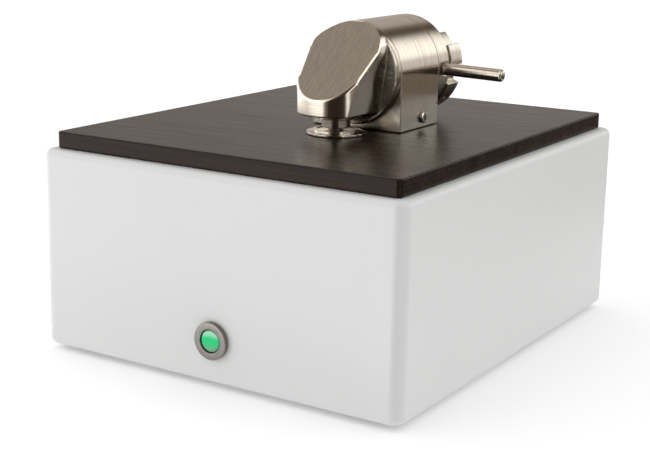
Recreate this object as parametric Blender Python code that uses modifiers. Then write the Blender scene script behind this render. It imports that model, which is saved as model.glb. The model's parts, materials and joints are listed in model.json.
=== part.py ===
# Bench infrared spectrometer with a swing-over sample press on a wood-grain deck.
# Metres, +Z up, the front face looks along -Y. The origin is on the table, under the middle of the housing.
import math

import bmesh
import bpy
from mathutils import Vector

# Clearances and shared sizes
SEAT_GAP = 0.0003
OVERRUN = 0.002
WELD = 0.000001

# Housing: a painted cover, open below, with a ledge that the base plate is screwed to
BODY_WIDTH = 0.254
BODY_DEPTH = 0.291
BODY_HEIGHT = 0.1239
BODY_LIFT = 0.003
BODY_CORNER = 0.0076
BODY_EDGE = 0.0043
WALL = 0.003
SKIRT_WALL = 0.006
BASE_POCKET = 0.0025
LEDGE_THICKNESS = 0.003
LEDGE_WIDTH = 0.010
WINDOW_WIDTH = 0.110
WINDOW_DEPTH = 0.090
WINDOW_CORNER = 0.005

# Base plate, its screws and the push-in feet
BASE_THICKNESS = 0.002
BASE_SCREW_RADIUS = 0.0015
BASE_SCREW_LENGTH = 0.0045
BASE_SCREW_HEAD_RADIUS = 0.0029
BASE_SCREW_HEAD = 0.0014
FOOT_RADIUS = 0.009
FOOT_INSET = 0.030
FOOT_STEM_RADIUS = 0.0025
FOOT_STEM_LIP = 0.0006
FOOT_EDGE = 0.0008

# Deck plate
DECK_INSET = 0.0071
DECK_THICKNESS = 0.0101
DECK_CORNER = 0.003
DECK_EDGE = 0.001
BEAM_HOLE_RADIUS = 0.006
TRAY_THICKNESS = 0.006
TRAY_CLEARANCE = 0.0005

# Power button on the front face
BUTTON_X = 0.0033
BUTTON_HEIGHT = 0.0266
BEZEL_RADIUS = 0.0118
BEZEL_PROUD = 0.0026
BEZEL_BEVEL = 0.0012
BARREL_RADIUS = 0.0095
BARREL_LENGTH = 0.018
BARREL_BORE = 0.0076
LENS_RADIUS = 0.0066
LENS_DOME = 0.0009
LENS_LENGTH = 0.012
LENS_FLANGE = 0.0006
LENS_FLANGE_LENGTH = 0.0015
LENS_SINK = 0.0006
NUT_RADIUS = 0.0135
NUT_THICKNESS = 0.003
SWITCH_LENGTH = 0.010

# Press: block and the frame of its hinge
PRESS_X = 0.0195
BLOCK_FRONT_Y = -0.018
AXIS_HEIGHT = 0.0351
BLOCK_RADIUS = 0.032
BLOCK_LENGTH = 0.048
BLOCK_EDGE = 0.0004
BUSH_RADIUS = 0.011
BUSH_LENGTH = 0.0137
SHAFT_RADIUS = 0.008
SWING_ANGLE = math.radians(100)

# Press screws from under the deck, and the clamp screws in the block's sides
PRESS_SCREW_X = 0.022
PRESS_SCREW_INSET = 0.008
PRESS_SCREW_RADIUS = 0.0025
PRESS_SCREW_HEAD_RADIUS = 0.0042
PRESS_SCREW_HEAD = 0.005
PRESS_SCREW_REACH = 0.012
SIDE_SCREW_Y = 0.0278
SIDE_SCREW_HEIGHT = 0.0068
SIDE_SCREW_RADIUS = 0.002
SIDE_SCREW_LENGTH = 0.012
SIDE_SCREW_HEAD_RADIUS = 0.00385
SIDE_SCREW_HEAD = 0.0018
SIDE_SCREW_SLOT = 0.0011
PIP_RADIUS = 0.0011
PIP_DEPTH = 0.003
PIP_SIDE_INSET = 0.0018
PIP_SIDE_HEIGHT = 0.0129

# Press head: flange, upright body and the oblique face
FLANGE_RIM = 0.0012
FLANGE_BEVEL_DEPTH = 0.0042
FLANGE_BEVEL = 0.0014
HEAD_STEP = 0.0002
HEAD_RADIUS = 0.0248
HEAD_REACH = 0.0225
ANVIL_REACH = 0.0235
HEAD_BOTTOM_CLEARANCE = 0.0127
HEAD_BOTTOM_EDGE = 0.001
SIDE_CORNER_X = 0.0177
SIDE_CORNER_REACH = 0.0399
SIDE_FLARE = math.radians(3.2)
SIDE_LEAN = math.radians(9)
FACE_TILT = math.radians(43)
FACE_OFFSET = 0.0233
FACE_EDGE = 0.0021
SHAFT_SOCKET = 0.0100

# Anvil, its guide and spring
GUIDE_RADIUS = 0.0117
GUIDE_DEPTH = 0.007
GUIDE_CONE_TOP = 0.0130
GUIDE_CONE_BOTTOM = 0.0109
GUIDE_CONE_LENGTH = 0.0029
ANVIL_RADIUS = 0.0088
ANVIL_CHAMFER = 0.0006
ANVIL_PISTON_RADIUS = 0.0106
ANVIL_PISTON = 0.002
ANVIL_STEM_RADIUS = 0.004
ANVIL_STEM = 0.0046
ANVIL_TIP_RADIUS = 0.0045
ANVIL_TIP_GAP = 0.0006
CHAMBER_RADIUS = 0.011
CHAMBER_LENGTH = 0.0119
SPRING_RADIUS = 0.0078
SPRING_WIRE = 0.0007
SPRING_TURNS = 4

# Lever collar, stop pin, lever, stop hub and their screws
COLLAR_LENGTH = 0.0147
COLLAR_EDGE = 0.0003
LEVER_RADIUS = 0.004
LEVER_Y = 0.0562
LEVER_REACH = 0.0737
LEVER_ROOT = 0.0143
LEVER_ANGLE = math.radians(-1.5)
LEVER_DOME = 0.0012
LEVER_TIP_EDGE = 0.0007
COLLAR_PIP_Y = 0.0589
COLLAR_PIP_ANGLES = (math.radians(5), math.radians(70))
STOP_PIN_RADIUS = 0.002
STOP_PIN_ORBIT = 0.022
STOP_PIN_ANGLE = math.radians(135)
STOP_PIN_SEAT = 0.008
STOP_PIN_REACH = 0.0035
STOP_GROOVE_DEPTH = 0.0042
STOP_GROOVE_CLEARANCE = 0.0004
HUB_RADIUS = 0.0285
HUB_NECK = 0.0235
HUB_LUG = 0.0331
HUB_LENGTH = 0.0152
HUB_STEP = math.radians(46.5)
HUB_UPPER_LUG = (math.radians(1), math.radians(25))
HUB_LOWER_LUG = (math.radians(-128), math.radians(-20.4))
HUB_SCREW_RADIUS = 0.003
HUB_SCREW_LENGTH = 0.011
HUB_SCREW_HEAD_RADIUS = 0.0068
HUB_SCREW_HEAD = 0.003
HUB_SCREW_SOCKET = 0.0025
SET_SCREW_RADIUS = 0.0021
SET_SCREW_LENGTH = 0.005
SET_SCREW_ANGLE = math.radians(-40)
SET_SCREW_SINK = 0.0003
SET_SCREW_SOCKET = 0.0011

# Crystal plate and crystal
PLATE_RADIUS = 0.0181
PLATE_THICKNESS = 0.0013
PLATE_EDGE = 0.0003
RING_RADIUS = 0.0135
RING_HEIGHT = 0.0014
RING_DISH_OUTER = 0.0118
RING_DISH_INNER = 0.0048
RING_DISH_DEPTH = 0.0006
PLATE_SPIGOT_RADIUS = 0.0056
PLATE_SPIGOT_LENGTH = 0.005
CRYSTAL_RADIUS = 0.003
CRYSTAL_THICKNESS = 0.001
CRYSTAL_WINDOW = 0.0022

# Optical bench and its three rubber mounts
BENCH_SIDE_GAP = 0.024
BENCH_FRONT_GAP = 0.0335
BENCH_REAR_GAP = 0.0875
BENCH_THICKNESS = 0.008
BENCH_CORNER = 0.012
BENCH_TOP = 0.032
BENCH_MOUNT_RADIUS = 0.008
BENCH_MOUNT_WAIST = 0.006
BENCH_MOUNT_INSET = 0.014
BEAM_HEIGHT = 0.030

# Interferometer and optics on the bench
SPLITTER_X = -0.025
SPLITTER_Y = 0.020
SPLITTER_BLOCK = 0.040
SPLITTER_BLOCK_HEIGHT = 0.050
SPLITTER_BORE = 0.012
SPLITTER_RADIUS = 0.014
SPLITTER_THICKNESS = 0.004
FIXED_MIRROR_RADIUS = 0.014
FIXED_MIRROR_THICKNESS = 0.006
MOVING_MIRROR_RADIUS = 0.012
MOVING_MIRROR_THICKNESS = 0.005
CARRIAGE_X = 0.034
CARRIAGE_LENGTH = 0.030
CARRIAGE_WIDTH = 0.026
CARRIAGE_HEIGHT = 0.044
CARRIAGE_TRAVEL = 0.003
RAIL_WIDTH = 0.010
RAIL_HEIGHT = 0.004
RAIL_LENGTH = 0.036
COIL_RADIUS = 0.0084
COIL_BORE = 0.0066
COIL_LENGTH = 0.014
MAGNET_GAP = 0.0006
MAGNET_LENGTH = 0.026
MAGNET_WIDTH = 0.030
MAGNET_HEIGHT = 0.046
MAGNET_BORE_DEPTH = 0.018
SOURCE_X = -0.078
SOURCE_LENGTH = 0.034
SOURCE_WIDTH = 0.030
SOURCE_HEIGHT = 0.046
SOURCE_CUP_RADIUS = 0.011
SOURCE_CUP_DEPTH = 0.016
SOURCE_HOLDER_RADIUS = 0.005
SOURCE_HOLDER_LENGTH = 0.016
EMITTER_RADIUS = 0.0018
EMITTER_LENGTH = 0.010
FOLD_SIDE = 0.030
FOLD_HEIGHT = 0.045
TRANSFER_HALF_WIDTH = 0.028
TRANSFER_FOOT = 0.012
TRANSFER_RIDGE = 0.003
TRANSFER_DEPTH = 0.026
DETECTOR_X = 0.082
DETECTOR_LENGTH = 0.024
DETECTOR_WIDTH = 0.028
DETECTOR_HEIGHT = 0.042
DETECTOR_SNOUT_RADIUS = 0.008
DETECTOR_SNOUT = 0.008
LASER_Y = -0.016
LASER_RADIUS = 0.006
LASER_LENGTH = 0.034
LASER_FOOT_WIDTH = 0.008
DESICCANT_SIDE_GAP = 0.018
DESICCANT_REAR_GAP = 0.0315
DESICCANT_RADIUS = 0.016
DESICCANT_HEIGHT = 0.060
DESICCANT_CAP = 0.008
DESICCANT_CAP_STEP = 0.002

# Main board and the sockets in the rear wall
BOARD_WIDTH = 0.130
BOARD_DEPTH = 0.056
BOARD_THICKNESS = 0.0016
BOARD_X = -0.025
BOARD_REAR_GAP = 0.008
BOARD_HEIGHT = 0.020
BOARD_POST_RADIUS = 0.003
BOARD_PIN_RADIUS = 0.0013
BOARD_PIN_LENGTH = 0.0035
BOARD_POST_INSET = 0.010
CHIP_HEIGHT = 0.003
SOCKET_X = -0.045
INLET_X = -0.070
SOCKET_WIDTH = 0.012
SOCKET_HEIGHT = 0.0112
SOCKET_LENGTH = 0.0152
SOCKET_MOUTH_WIDTH = 0.0085
SOCKET_MOUTH_HEIGHT = 0.0078
SOCKET_DEPTH = 0.009
SOCKET_TONGUE_WIDTH = 0.0056
SOCKET_TONGUE_HEIGHT = 0.0032
INLET_WIDTH = 0.0095
INLET_RADIUS = 0.0031
INLET_PIN_RADIUS = 0.001
PANEL_CLEARANCE = 0.0004

# Levels that follow from the sizes above
BODY_TOP = BODY_LIFT + BODY_HEIGHT
LEDGE_BOTTOM = BODY_LIFT + BASE_POCKET
LEDGE_TOP = LEDGE_BOTTOM + LEDGE_THICKNESS
BASE_TOP = LEDGE_BOTTOM - SEAT_GAP
BASE_BOTTOM = BASE_TOP - BASE_THICKNESS
DECK_BOTTOM = BODY_TOP + SEAT_GAP
DECK_TOP = DECK_BOTTOM + DECK_THICKNESS
AXIS_Z = DECK_TOP + AXIS_HEIGHT
ANVIL_Y = BLOCK_FRONT_Y - ANVIL_REACH
FLANGE_BACK = -SEAT_GAP
HEAD_BOTTOM = HEAD_BOTTOM_CLEARANCE - AXIS_HEIGHT
HEAD_LIMIT = BLOCK_RADIUS - HEAD_STEP
HEAD_REAR = FLANGE_BACK - HEAD_STEP
FACE_RISE = FACE_OFFSET / math.cos(FACE_TILT)
GUIDE_TOP = HEAD_BOTTOM + GUIDE_DEPTH
CHAMBER_TOP = GUIDE_TOP + CHAMBER_LENGTH
CRYSTAL_TOP = SEAT_GAP + PLATE_THICKNESS + RING_HEIGHT
ANVIL_BOTTOM = CRYSTAL_TOP + ANVIL_TIP_GAP - AXIS_HEIGHT
COLLAR_FRONT = BLOCK_LENGTH + SEAT_GAP
COLLAR_BACK = COLLAR_FRONT + COLLAR_LENGTH
HUB_FRONT = COLLAR_BACK + SEAT_GAP
HUB_BACK = HUB_FRONT + HUB_LENGTH
FRONT_Y = -BODY_DEPTH / 2
REAR_Y = BODY_DEPTH / 2
BENCH_WIDTH = BODY_WIDTH - 2 * (WALL + BENCH_SIDE_GAP)
BENCH_FRONT = FRONT_Y + WALL + BENCH_FRONT_GAP
BENCH_REAR = REAR_Y - WALL - BENCH_REAR_GAP
BENCH_DEPTH = BENCH_REAR - BENCH_FRONT
BENCH_Y = (BENCH_FRONT + BENCH_REAR) / 2
BENCH_SEAT = BENCH_TOP + SEAT_GAP
BEAM_Z = BENCH_TOP + BEAM_HEIGHT
DESICCANT_X = BODY_WIDTH / 2 - WALL - DESICCANT_SIDE_GAP - DESICCANT_RADIUS
DESICCANT_Y = REAR_Y - WALL - DESICCANT_REAR_GAP - DESICCANT_RADIUS

# Facets of round pieces
FINE = 48
ROUND = 22
SMALL = 10

# Turns that lay a piece's own Z axis along a world axis
ALONG_Y = (-math.pi / 2, 0, 0)
ALONG_MINUS_Y = (math.pi / 2, 0, 0)
ALONG_X = (0, math.pi / 2, 0)
ALONG_MINUS_X = (0, -math.pi / 2, 0)

# Finishes: colour, roughness and metallic value
FINISHES = {
    "white_paint": ((0.86, 0.86, 0.86), 0.38, 0.0),
    "wood_laminate": ((0.075, 0.052, 0.045), 0.35, 0.0),
    "brushed_steel": ((0.56, 0.53, 0.48), 0.32, 1.0),
    "polished_steel": ((0.72, 0.70, 0.66), 0.14, 1.0),
    "button_steel": ((0.60, 0.58, 0.55), 0.26, 1.0),
    "green_lens": ((0.10, 0.62, 0.30), 0.12, 0.0),
    "black_plastic": ((0.03, 0.03, 0.032), 0.45, 0.0),
    "rubber": ((0.025, 0.025, 0.025), 0.8, 0.0),
    "sheet_metal": ((0.55, 0.56, 0.57), 0.4, 1.0),
    "cast_aluminium": ((0.62, 0.62, 0.63), 0.5, 1.0),
    "bronze": ((0.55, 0.38, 0.18), 0.4, 1.0),
    "spring_steel": ((0.45, 0.45, 0.46), 0.3, 1.0),
    "crystal": ((0.80, 0.84, 0.86), 0.03, 0.0),
    "mirror_coat": ((0.90, 0.88, 0.80), 0.03, 1.0),
    "ceramic": ((0.80, 0.76, 0.68), 0.7, 0.0),
    "circuit_board": ((0.03, 0.20, 0.09), 0.5, 0.0),
    "copper": ((0.72, 0.34, 0.18), 0.35, 1.0),
    "desiccant_plastic": ((0.75, 0.77, 0.80), 0.3, 0.0),
}


def clear_scene():
    for item in list(bpy.data.objects):
        bpy.data.objects.remove(item, do_unlink=True)


def make_collection(name):
    group = bpy.data.collections.new(name)
    bpy.context.scene.collection.children.link(group)
    return group


def finish_material(name):
    found = bpy.data.materials.get(name)
    if found:
        return found
    colour, roughness, metallic = FINISHES[name]
    made = bpy.data.materials.new(name)
    made.use_nodes = True
    shader = made.node_tree.nodes["Principled BSDF"]
    shader.inputs["Base Color"].default_value = (*colour, 1.0)
    shader.inputs["Roughness"].default_value = roughness
    shader.inputs["Metallic"].default_value = metallic
    made.diffuse_color = (*colour, 1.0)
    return made


def add_empty(name, at, parent=None):
    frame = bpy.data.objects.new(name, None)
    PARTS.objects.link(frame)
    frame.location = at
    frame.parent = parent
    return frame


def place(name, data, finish, at=(0, 0, 0), turn=(0, 0, 0), parent=None):
    piece = bpy.data.objects.new(name, data)
    PARTS.objects.link(piece)
    piece.location = at
    piece.rotation_euler = turn
    piece.parent = parent
    if finish:
        data.materials.append(finish_material(finish))
    return piece


def as_cutter(piece):
    PARTS.objects.unlink(piece)
    CUTTERS.objects.link(piece)
    piece.hide_render = True
    piece.display_type = "WIRE"
    return piece


def boolean(piece, other, operation):
    step = piece.modifiers.new(operation.lower() + " " + other.name, "BOOLEAN")
    step.operation = operation
    step.solver = "EXACT"
    step.object = other
    return piece


def cut(piece, *cutters):
    for cutter in cutters:
        boolean(piece, cutter, "DIFFERENCE")
    return piece


def join(piece, *others):
    for other in others:
        boolean(piece, other, "UNION")
    return piece


def round_edges(piece, width, segments, limit=math.radians(50)):
    step = piece.modifiers.new("rounded edges", "BEVEL")
    step.width = width
    step.segments = segments
    step.limit_method = "ANGLE"
    step.angle_limit = limit
    return piece


def smooth_mesh(data):
    data.shade_smooth()
    data.set_sharp_from_angle(angle=math.radians(30))
    return data


# A box about its own middle
def box_mesh(name, width, depth, height):
    shape = bmesh.new()
    bmesh.ops.create_cube(shape, size=1)
    bmesh.ops.scale(shape, vec=(width, depth, height), verts=shape.verts)
    data = bpy.data.meshes.new(name)
    shape.to_mesh(data)
    shape.free()
    return data


# A round bar from z = 0 to its length
def bar_mesh(name, radius, length, sides, end_radius=None):
    shape = bmesh.new()
    bmesh.ops.create_cone(
        shape, cap_ends=True, segments=sides, radius1=radius, radius2=end_radius or radius, depth=length
    )
    bmesh.ops.translate(shape, vec=(0, 0, length / 2), verts=shape.verts)
    data = bpy.data.meshes.new(name)
    shape.to_mesh(data)
    shape.free()
    return smooth_mesh(data)


# A profile of (radius, height) pairs, outer side from the top down, turned about Z
def turned(name, profile, finish, steps=ROUND, closed=False, **where):
    data = bpy.data.meshes.new(name)
    edges = [(i, i + 1) for i in range(len(profile) - 1)]
    if closed:
        edges.append((len(profile) - 1, 0))
    data.from_pydata([(radius, 0, height) for radius, height in profile], edges, [])
    piece = place(name, data, finish, **where)
    spin = piece.modifiers.new("turn", "SCREW")
    spin.axis = "Z"
    spin.angle = 2 * math.pi
    spin.steps = steps
    spin.render_steps = steps
    spin.use_merge_vertices = True
    spin.merge_threshold = WELD
    return piece


def arc(centre_x, centre_y, radius, start, end, steps):
    points = []
    for i in range(steps + 1):
        angle = start + (end - start) * i / steps
        points.append((centre_x + radius * math.cos(angle), centre_y + radius * math.sin(angle)))
    return points


def rounded_rectangle(width, depth, radius, steps=6):
    x, y = width / 2 - radius, depth / 2 - radius
    quarter = math.pi / 2
    points = []
    for i, (centre_x, centre_y) in enumerate(((x, y), (-x, y), (-x, -y), (x, -y))):
        points += arc(centre_x, centre_y, radius, i * quarter, (i + 1) * quarter, steps)
    return points


# A flat outline given a thickness, from z = 0 up
def plate_mesh(name, outline, thickness):
    curve = bpy.data.curves.new(name + " outline", "CURVE")
    curve.dimensions = "2D"
    curve.fill_mode = "BOTH"
    curve.extrude = thickness / 2
    spline = curve.splines.new("POLY")
    spline.points.add(len(outline) - 1)
    for point, (x, y) in zip(spline.points, outline):
        point.co = (x, y, 0, 1)
    spline.use_cyclic_u = True
    drawn = bpy.data.objects.new(name + " outline", curve)
    bpy.context.scene.collection.objects.link(drawn)
    evaluated = drawn.evaluated_get(bpy.context.evaluated_depsgraph_get())
    data = bpy.data.meshes.new_from_object(evaluated)
    data.name = name
    bpy.data.objects.remove(drawn, do_unlink=True)
    shape = bmesh.new()
    shape.from_mesh(data)
    bmesh.ops.remove_doubles(shape, verts=shape.verts, dist=WELD)
    bmesh.ops.translate(shape, vec=(0, 0, thickness / 2), verts=shape.verts)
    bmesh.ops.recalc_face_normals(shape, faces=shape.faces)
    shape.to_mesh(data)
    shape.free()
    return data


def bar_cutter(name, radius, length, sides=SMALL, **where):
    return as_cutter(place(name, bar_mesh(name, radius, length, sides), None, **where))


def box_cutter(name, width, depth, height, **where):
    return as_cutter(place(name, box_mesh(name, width, depth, height), None, **where))


def plate_cutter(name, outline, thickness, **where):
    return as_cutter(place(name, plate_mesh(name, outline, thickness), None, **where))


# A screw along its own Z: the shank points up, the head hangs below z = 0
def screw(name, radius, length, head_radius, head, finish, **where):
    edge = head / 4
    profile = [
        (0, length), (radius - edge / 2, length), (radius, length - edge / 2), (radius, 0),
        (head_radius, 0),
        (head_radius, -head + edge), (head_radius - edge, -head), (0, -head),
    ]
    return turned(name, profile, finish, steps=SMALL, **where)


def corner_places(half_x, half_y):
    return [(-half_x, -half_y), (half_x, -half_y), (-half_x, half_y), (half_x, half_y)]


def base_screw_places():
    inset = SKIRT_WALL + LEDGE_WIDTH / 2
    return corner_places(BODY_WIDTH / 2 - inset - FOOT_INSET, BODY_DEPTH / 2 - inset)


def foot_places():
    return corner_places(BODY_WIDTH / 2 - FOOT_INSET, BODY_DEPTH / 2 - FOOT_INSET)


def board_post_places():
    half_x = BOARD_WIDTH / 2 - BOARD_POST_INSET
    half_y = BOARD_DEPTH / 2 - BOARD_POST_INSET
    return [(BOARD_X + x, board_y() + y) for x, y in corner_places(half_x, half_y)]


def board_y():
    return REAR_Y - WALL - BOARD_REAR_GAP - BOARD_DEPTH / 2


def inset_outline(inset, radius=None):
    corner = max(BODY_CORNER - inset, WALL / 2) if radius is None else radius
    return rounded_rectangle(BODY_WIDTH - 2 * inset, BODY_DEPTH - 2 * inset, corner)


def make_housing():
    data = plate_mesh("housing", inset_outline(0), BODY_HEIGHT)
    housing = place("housing", data, "white_paint", at=(0, 0, BODY_LIFT))
    round_edges(housing, BODY_EDGE, 3)
    cavity_height = BODY_TOP - WALL - LEDGE_TOP
    ledge_inset = SKIRT_WALL + LEDGE_WIDTH
    cut(
        housing,
        plate_cutter("cavity", inset_outline(WALL), cavity_height, at=(0, 0, LEDGE_TOP)),
        plate_cutter(
            "ledge opening", inset_outline(ledge_inset, WALL), cavity_height,
            at=(0, 0, BODY_LIFT - OVERRUN)
        ),
        plate_cutter(
            "base pocket", inset_outline(SKIRT_WALL), BASE_POCKET + OVERRUN,
            at=(0, 0, BODY_LIFT - OVERRUN)
        ),
        plate_cutter(
            "tray window", rounded_rectangle(WINDOW_WIDTH, WINDOW_DEPTH, WINDOW_CORNER),
            WALL + 2 * OVERRUN, at=(PRESS_X, ANVIL_Y, BODY_TOP - WALL - OVERRUN),
        ),
        bar_cutter(
            "button hole", BARREL_RADIUS + SEAT_GAP, WALL + 2 * OVERRUN, ROUND,
            at=(BUTTON_X, FRONT_Y - OVERRUN, BODY_LIFT + BUTTON_HEIGHT), turn=ALONG_Y,
        ),
    )
    sockets = (("socket cut-out", SOCKET_X, SOCKET_WIDTH), ("inlet cut-out", INLET_X, INLET_WIDTH))
    for name, x, width in sockets:
        cut(housing, box_cutter(
            name, width + 2 * PANEL_CLEARANCE, WALL + 2 * OVERRUN, SOCKET_HEIGHT + 2 * PANEL_CLEARANCE,
            at=(x, REAR_Y - WALL / 2, socket_z()),
        ))
    for i, (x, y) in enumerate(base_screw_places()):
        name = "ledge hole %d" % (i + 1)
        cut(housing, bar_cutter(
            name, BASE_SCREW_RADIUS + SEAT_GAP, LEDGE_THICKNESS + 2 * OVERRUN,
            at=(x, y, LEDGE_BOTTOM - OVERRUN)
        ))


def socket_z():
    return BOARD_HEIGHT + BOARD_THICKNESS + SEAT_GAP + SOCKET_HEIGHT / 2


def make_base():
    data = plate_mesh("base_plate", inset_outline(SKIRT_WALL + SEAT_GAP), BASE_THICKNESS)
    base = place("base_plate", data, "sheet_metal", at=(0, 0, BASE_BOTTOM))
    for i, (x, y) in enumerate(board_post_places()):
        post_height = BOARD_HEIGHT - SEAT_GAP - BASE_TOP
        profile = [
            (0, post_height + BOARD_PIN_LENGTH), (BOARD_PIN_RADIUS, post_height + BOARD_PIN_LENGTH),
            (BOARD_PIN_RADIUS, post_height), (BOARD_POST_RADIUS, post_height),
            (BOARD_POST_RADIUS, -BASE_THICKNESS / 2), (0, -BASE_THICKNESS / 2),
        ]
        post = turned("board post %d" % (i + 1), profile, None, steps=SMALL, at=(x, y, BASE_TOP))
        join(base, as_cutter(post))
    for i, (x, y) in enumerate(base_screw_places()):
        cut(base, bar_cutter(
            "base hole %d" % (i + 1), BASE_SCREW_RADIUS + SEAT_GAP, BASE_THICKNESS + 2 * OVERRUN,
            at=(x, y, BASE_BOTTOM - OVERRUN),
        ))
        screw(
            "base_screw_%d" % (i + 1), BASE_SCREW_RADIUS, BASE_SCREW_LENGTH, BASE_SCREW_HEAD_RADIUS,
            BASE_SCREW_HEAD, "polished_steel", at=(x, y, BASE_BOTTOM - SEAT_GAP),
        )
    for i, (x, y) in enumerate(foot_places()):
        cut(base, bar_cutter(
            "foot hole %d" % (i + 1), FOOT_STEM_RADIUS + SEAT_GAP, BASE_THICKNESS + 2 * OVERRUN,
            at=(x, y, BASE_BOTTOM - OVERRUN),
        ))


# A rubber foot pushed through the base plate, with a lip that holds it from above
def make_feet():
    top = BASE_BOTTOM - SEAT_GAP
    lip = BASE_TOP + SEAT_GAP
    profile = [
        (0, lip + 2 * FOOT_STEM_LIP), (FOOT_STEM_RADIUS - FOOT_STEM_LIP, lip + 2 * FOOT_STEM_LIP),
        (FOOT_STEM_RADIUS + FOOT_STEM_LIP, lip + FOOT_STEM_LIP / 2),
        (FOOT_STEM_RADIUS + FOOT_STEM_LIP, lip),
        (FOOT_STEM_RADIUS, lip), (FOOT_STEM_RADIUS, top), (FOOT_RADIUS - FOOT_EDGE, top),
        (FOOT_RADIUS, top - FOOT_EDGE), (FOOT_RADIUS - FOOT_EDGE, 0), (0, 0),
    ]
    names = ("foot_front_left", "foot_front_right", "foot_rear_left", "foot_rear_right")
    for name, (x, y) in zip(names, foot_places()):
        turned(name, profile, "rubber", steps=SMALL, at=(x, y, 0))


def make_deck():
    data = plate_mesh("deck_plate", inset_outline(DECK_INSET, DECK_CORNER), DECK_THICKNESS)
    deck = place("deck_plate", data, "wood_laminate", at=(0, 0, DECK_BOTTOM))
    round_edges(deck, DECK_EDGE, 2)
    cut(deck, bar_cutter(
        "beam hole", BEAM_HOLE_RADIUS, DECK_THICKNESS + 2 * OVERRUN,
        at=(PRESS_X, ANVIL_Y, DECK_BOTTOM - OVERRUN)
    ))
    for i, (x, y) in enumerate(press_screw_places()):
        cut(
            deck,
            bar_cutter(
                "deck screw hole %d" % (i + 1), PRESS_SCREW_RADIUS + SEAT_GAP,
                DECK_THICKNESS + 2 * OVERRUN,
                at=(x, y, DECK_BOTTOM - OVERRUN),
            ),
            bar_cutter(
                "counterbore %d" % (i + 1), PRESS_SCREW_HEAD_RADIUS + SEAT_GAP,
                PRESS_SCREW_HEAD + 2 * SEAT_GAP + OVERRUN, at=(x, y, DECK_BOTTOM - OVERRUN),
            ),
        )
    tray_width = WINDOW_WIDTH - 2 * TRAY_CLEARANCE
    tray_depth = WINDOW_DEPTH - 2 * TRAY_CLEARANCE
    outline = rounded_rectangle(tray_width, tray_depth, WINDOW_CORNER - TRAY_CLEARANCE)
    tray = place(
        "module_tray", plate_mesh("module_tray", outline, TRAY_THICKNESS), "cast_aluminium",
        at=(PRESS_X, ANVIL_Y, DECK_BOTTOM - SEAT_GAP - TRAY_THICKNESS),
    )
    cut(tray, bar_cutter(
        "tray beam hole", 2 * BEAM_HOLE_RADIUS, TRAY_THICKNESS + 2 * OVERRUN,
        at=(PRESS_X, ANVIL_Y, DECK_BOTTOM - SEAT_GAP - TRAY_THICKNESS - OVERRUN),
    ))


def press_screw_places():
    near = BLOCK_FRONT_Y + PRESS_SCREW_INSET
    far = BLOCK_FRONT_Y + BLOCK_LENGTH - PRESS_SCREW_INSET
    return [(PRESS_X + side * PRESS_SCREW_X, y) for y in (near, far) for side in (-1, 1)]


def make_button():
    frame = add_empty("button_axis", (BUTTON_X, FRONT_Y, BODY_LIFT + BUTTON_HEIGHT))
    proud = SEAT_GAP + BEZEL_PROUD
    throat = LENS_RADIUS + SEAT_GAP
    bezel = [
        (BEZEL_RADIUS - BEZEL_BEVEL, proud), (BEZEL_RADIUS, proud - BEZEL_BEVEL),
        (BEZEL_RADIUS, SEAT_GAP),
        (BARREL_RADIUS, SEAT_GAP), (BARREL_RADIUS, -BARREL_LENGTH), (BARREL_BORE, -BARREL_LENGTH),
        (BARREL_BORE, -LENS_FLANGE_LENGTH), (throat, -LENS_FLANGE_LENGTH),
        (throat, proud - BEZEL_BEVEL / 2), (throat + BEZEL_BEVEL, proud),
    ]
    turned("button_bezel", bezel, "button_steel", closed=True, turn=ALONG_MINUS_Y, parent=frame)
    top = proud - LENS_SINK
    flange = LENS_RADIUS + LENS_FLANGE
    flange_top = -LENS_FLANGE_LENGTH - SEAT_GAP
    lens = [
        (LENS_RADIUS * math.sin(a), top - LENS_DOME + LENS_DOME * math.cos(a)) for a in quarter_steps(4)
    ]
    lens += [
        (LENS_RADIUS, flange_top), (flange, flange_top), (flange, flange_top - LENS_FLANGE_LENGTH),
        (LENS_RADIUS, flange_top - LENS_FLANGE_LENGTH), (LENS_RADIUS, top - LENS_LENGTH),
        (0, top - LENS_LENGTH),
    ]
    turned("button_lens", lens, "green_lens", turn=ALONG_MINUS_Y, parent=frame)
    hexagon = arc(0, 0, NUT_RADIUS, 0, 2 * math.pi * 5 / 6, 5)
    nut = place(
        "button_nut", plate_mesh("button_nut", hexagon, NUT_THICKNESS), "polished_steel",
        at=(0, WALL + SEAT_GAP + NUT_THICKNESS, 0), turn=ALONG_MINUS_Y, parent=frame,
    )
    cut(nut, bar_cutter(
        "nut bore", BARREL_RADIUS + SEAT_GAP, NUT_THICKNESS + 2 * OVERRUN, ROUND,
        at=(0, WALL + SEAT_GAP - OVERRUN, 0), turn=ALONG_Y, parent=frame,
    ))
    switch_front = BARREL_LENGTH + SEAT_GAP
    switch = place(
        "button_switch", bar_mesh("button_switch", BARREL_RADIUS, SWITCH_LENGTH, SMALL), "black_plastic",
        at=(0, switch_front, 0), turn=ALONG_Y, parent=frame,
    )
    for side in (-1, 1):
        terminal = place(
            "switch terminal %d" % side, box_mesh("terminal", WALL / 4, WALL, WALL / 2 * 3), None,
            at=(side * BARREL_RADIUS / 2, switch_front + SWITCH_LENGTH, 0), turn=ALONG_Y, parent=frame,
        )
        join(switch, as_cutter(terminal))


def quarter_steps(count):
    return [math.pi / 2 * i / count for i in range(count + 1)]


def block_outline():
    side = BLOCK_RADIUS
    return [(side, -AXIS_HEIGHT + SEAT_GAP)] + arc(0, 0, side, 0, math.pi, FINE // 2) + [
        (-side, -AXIS_HEIGHT + SEAT_GAP)
    ]


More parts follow.
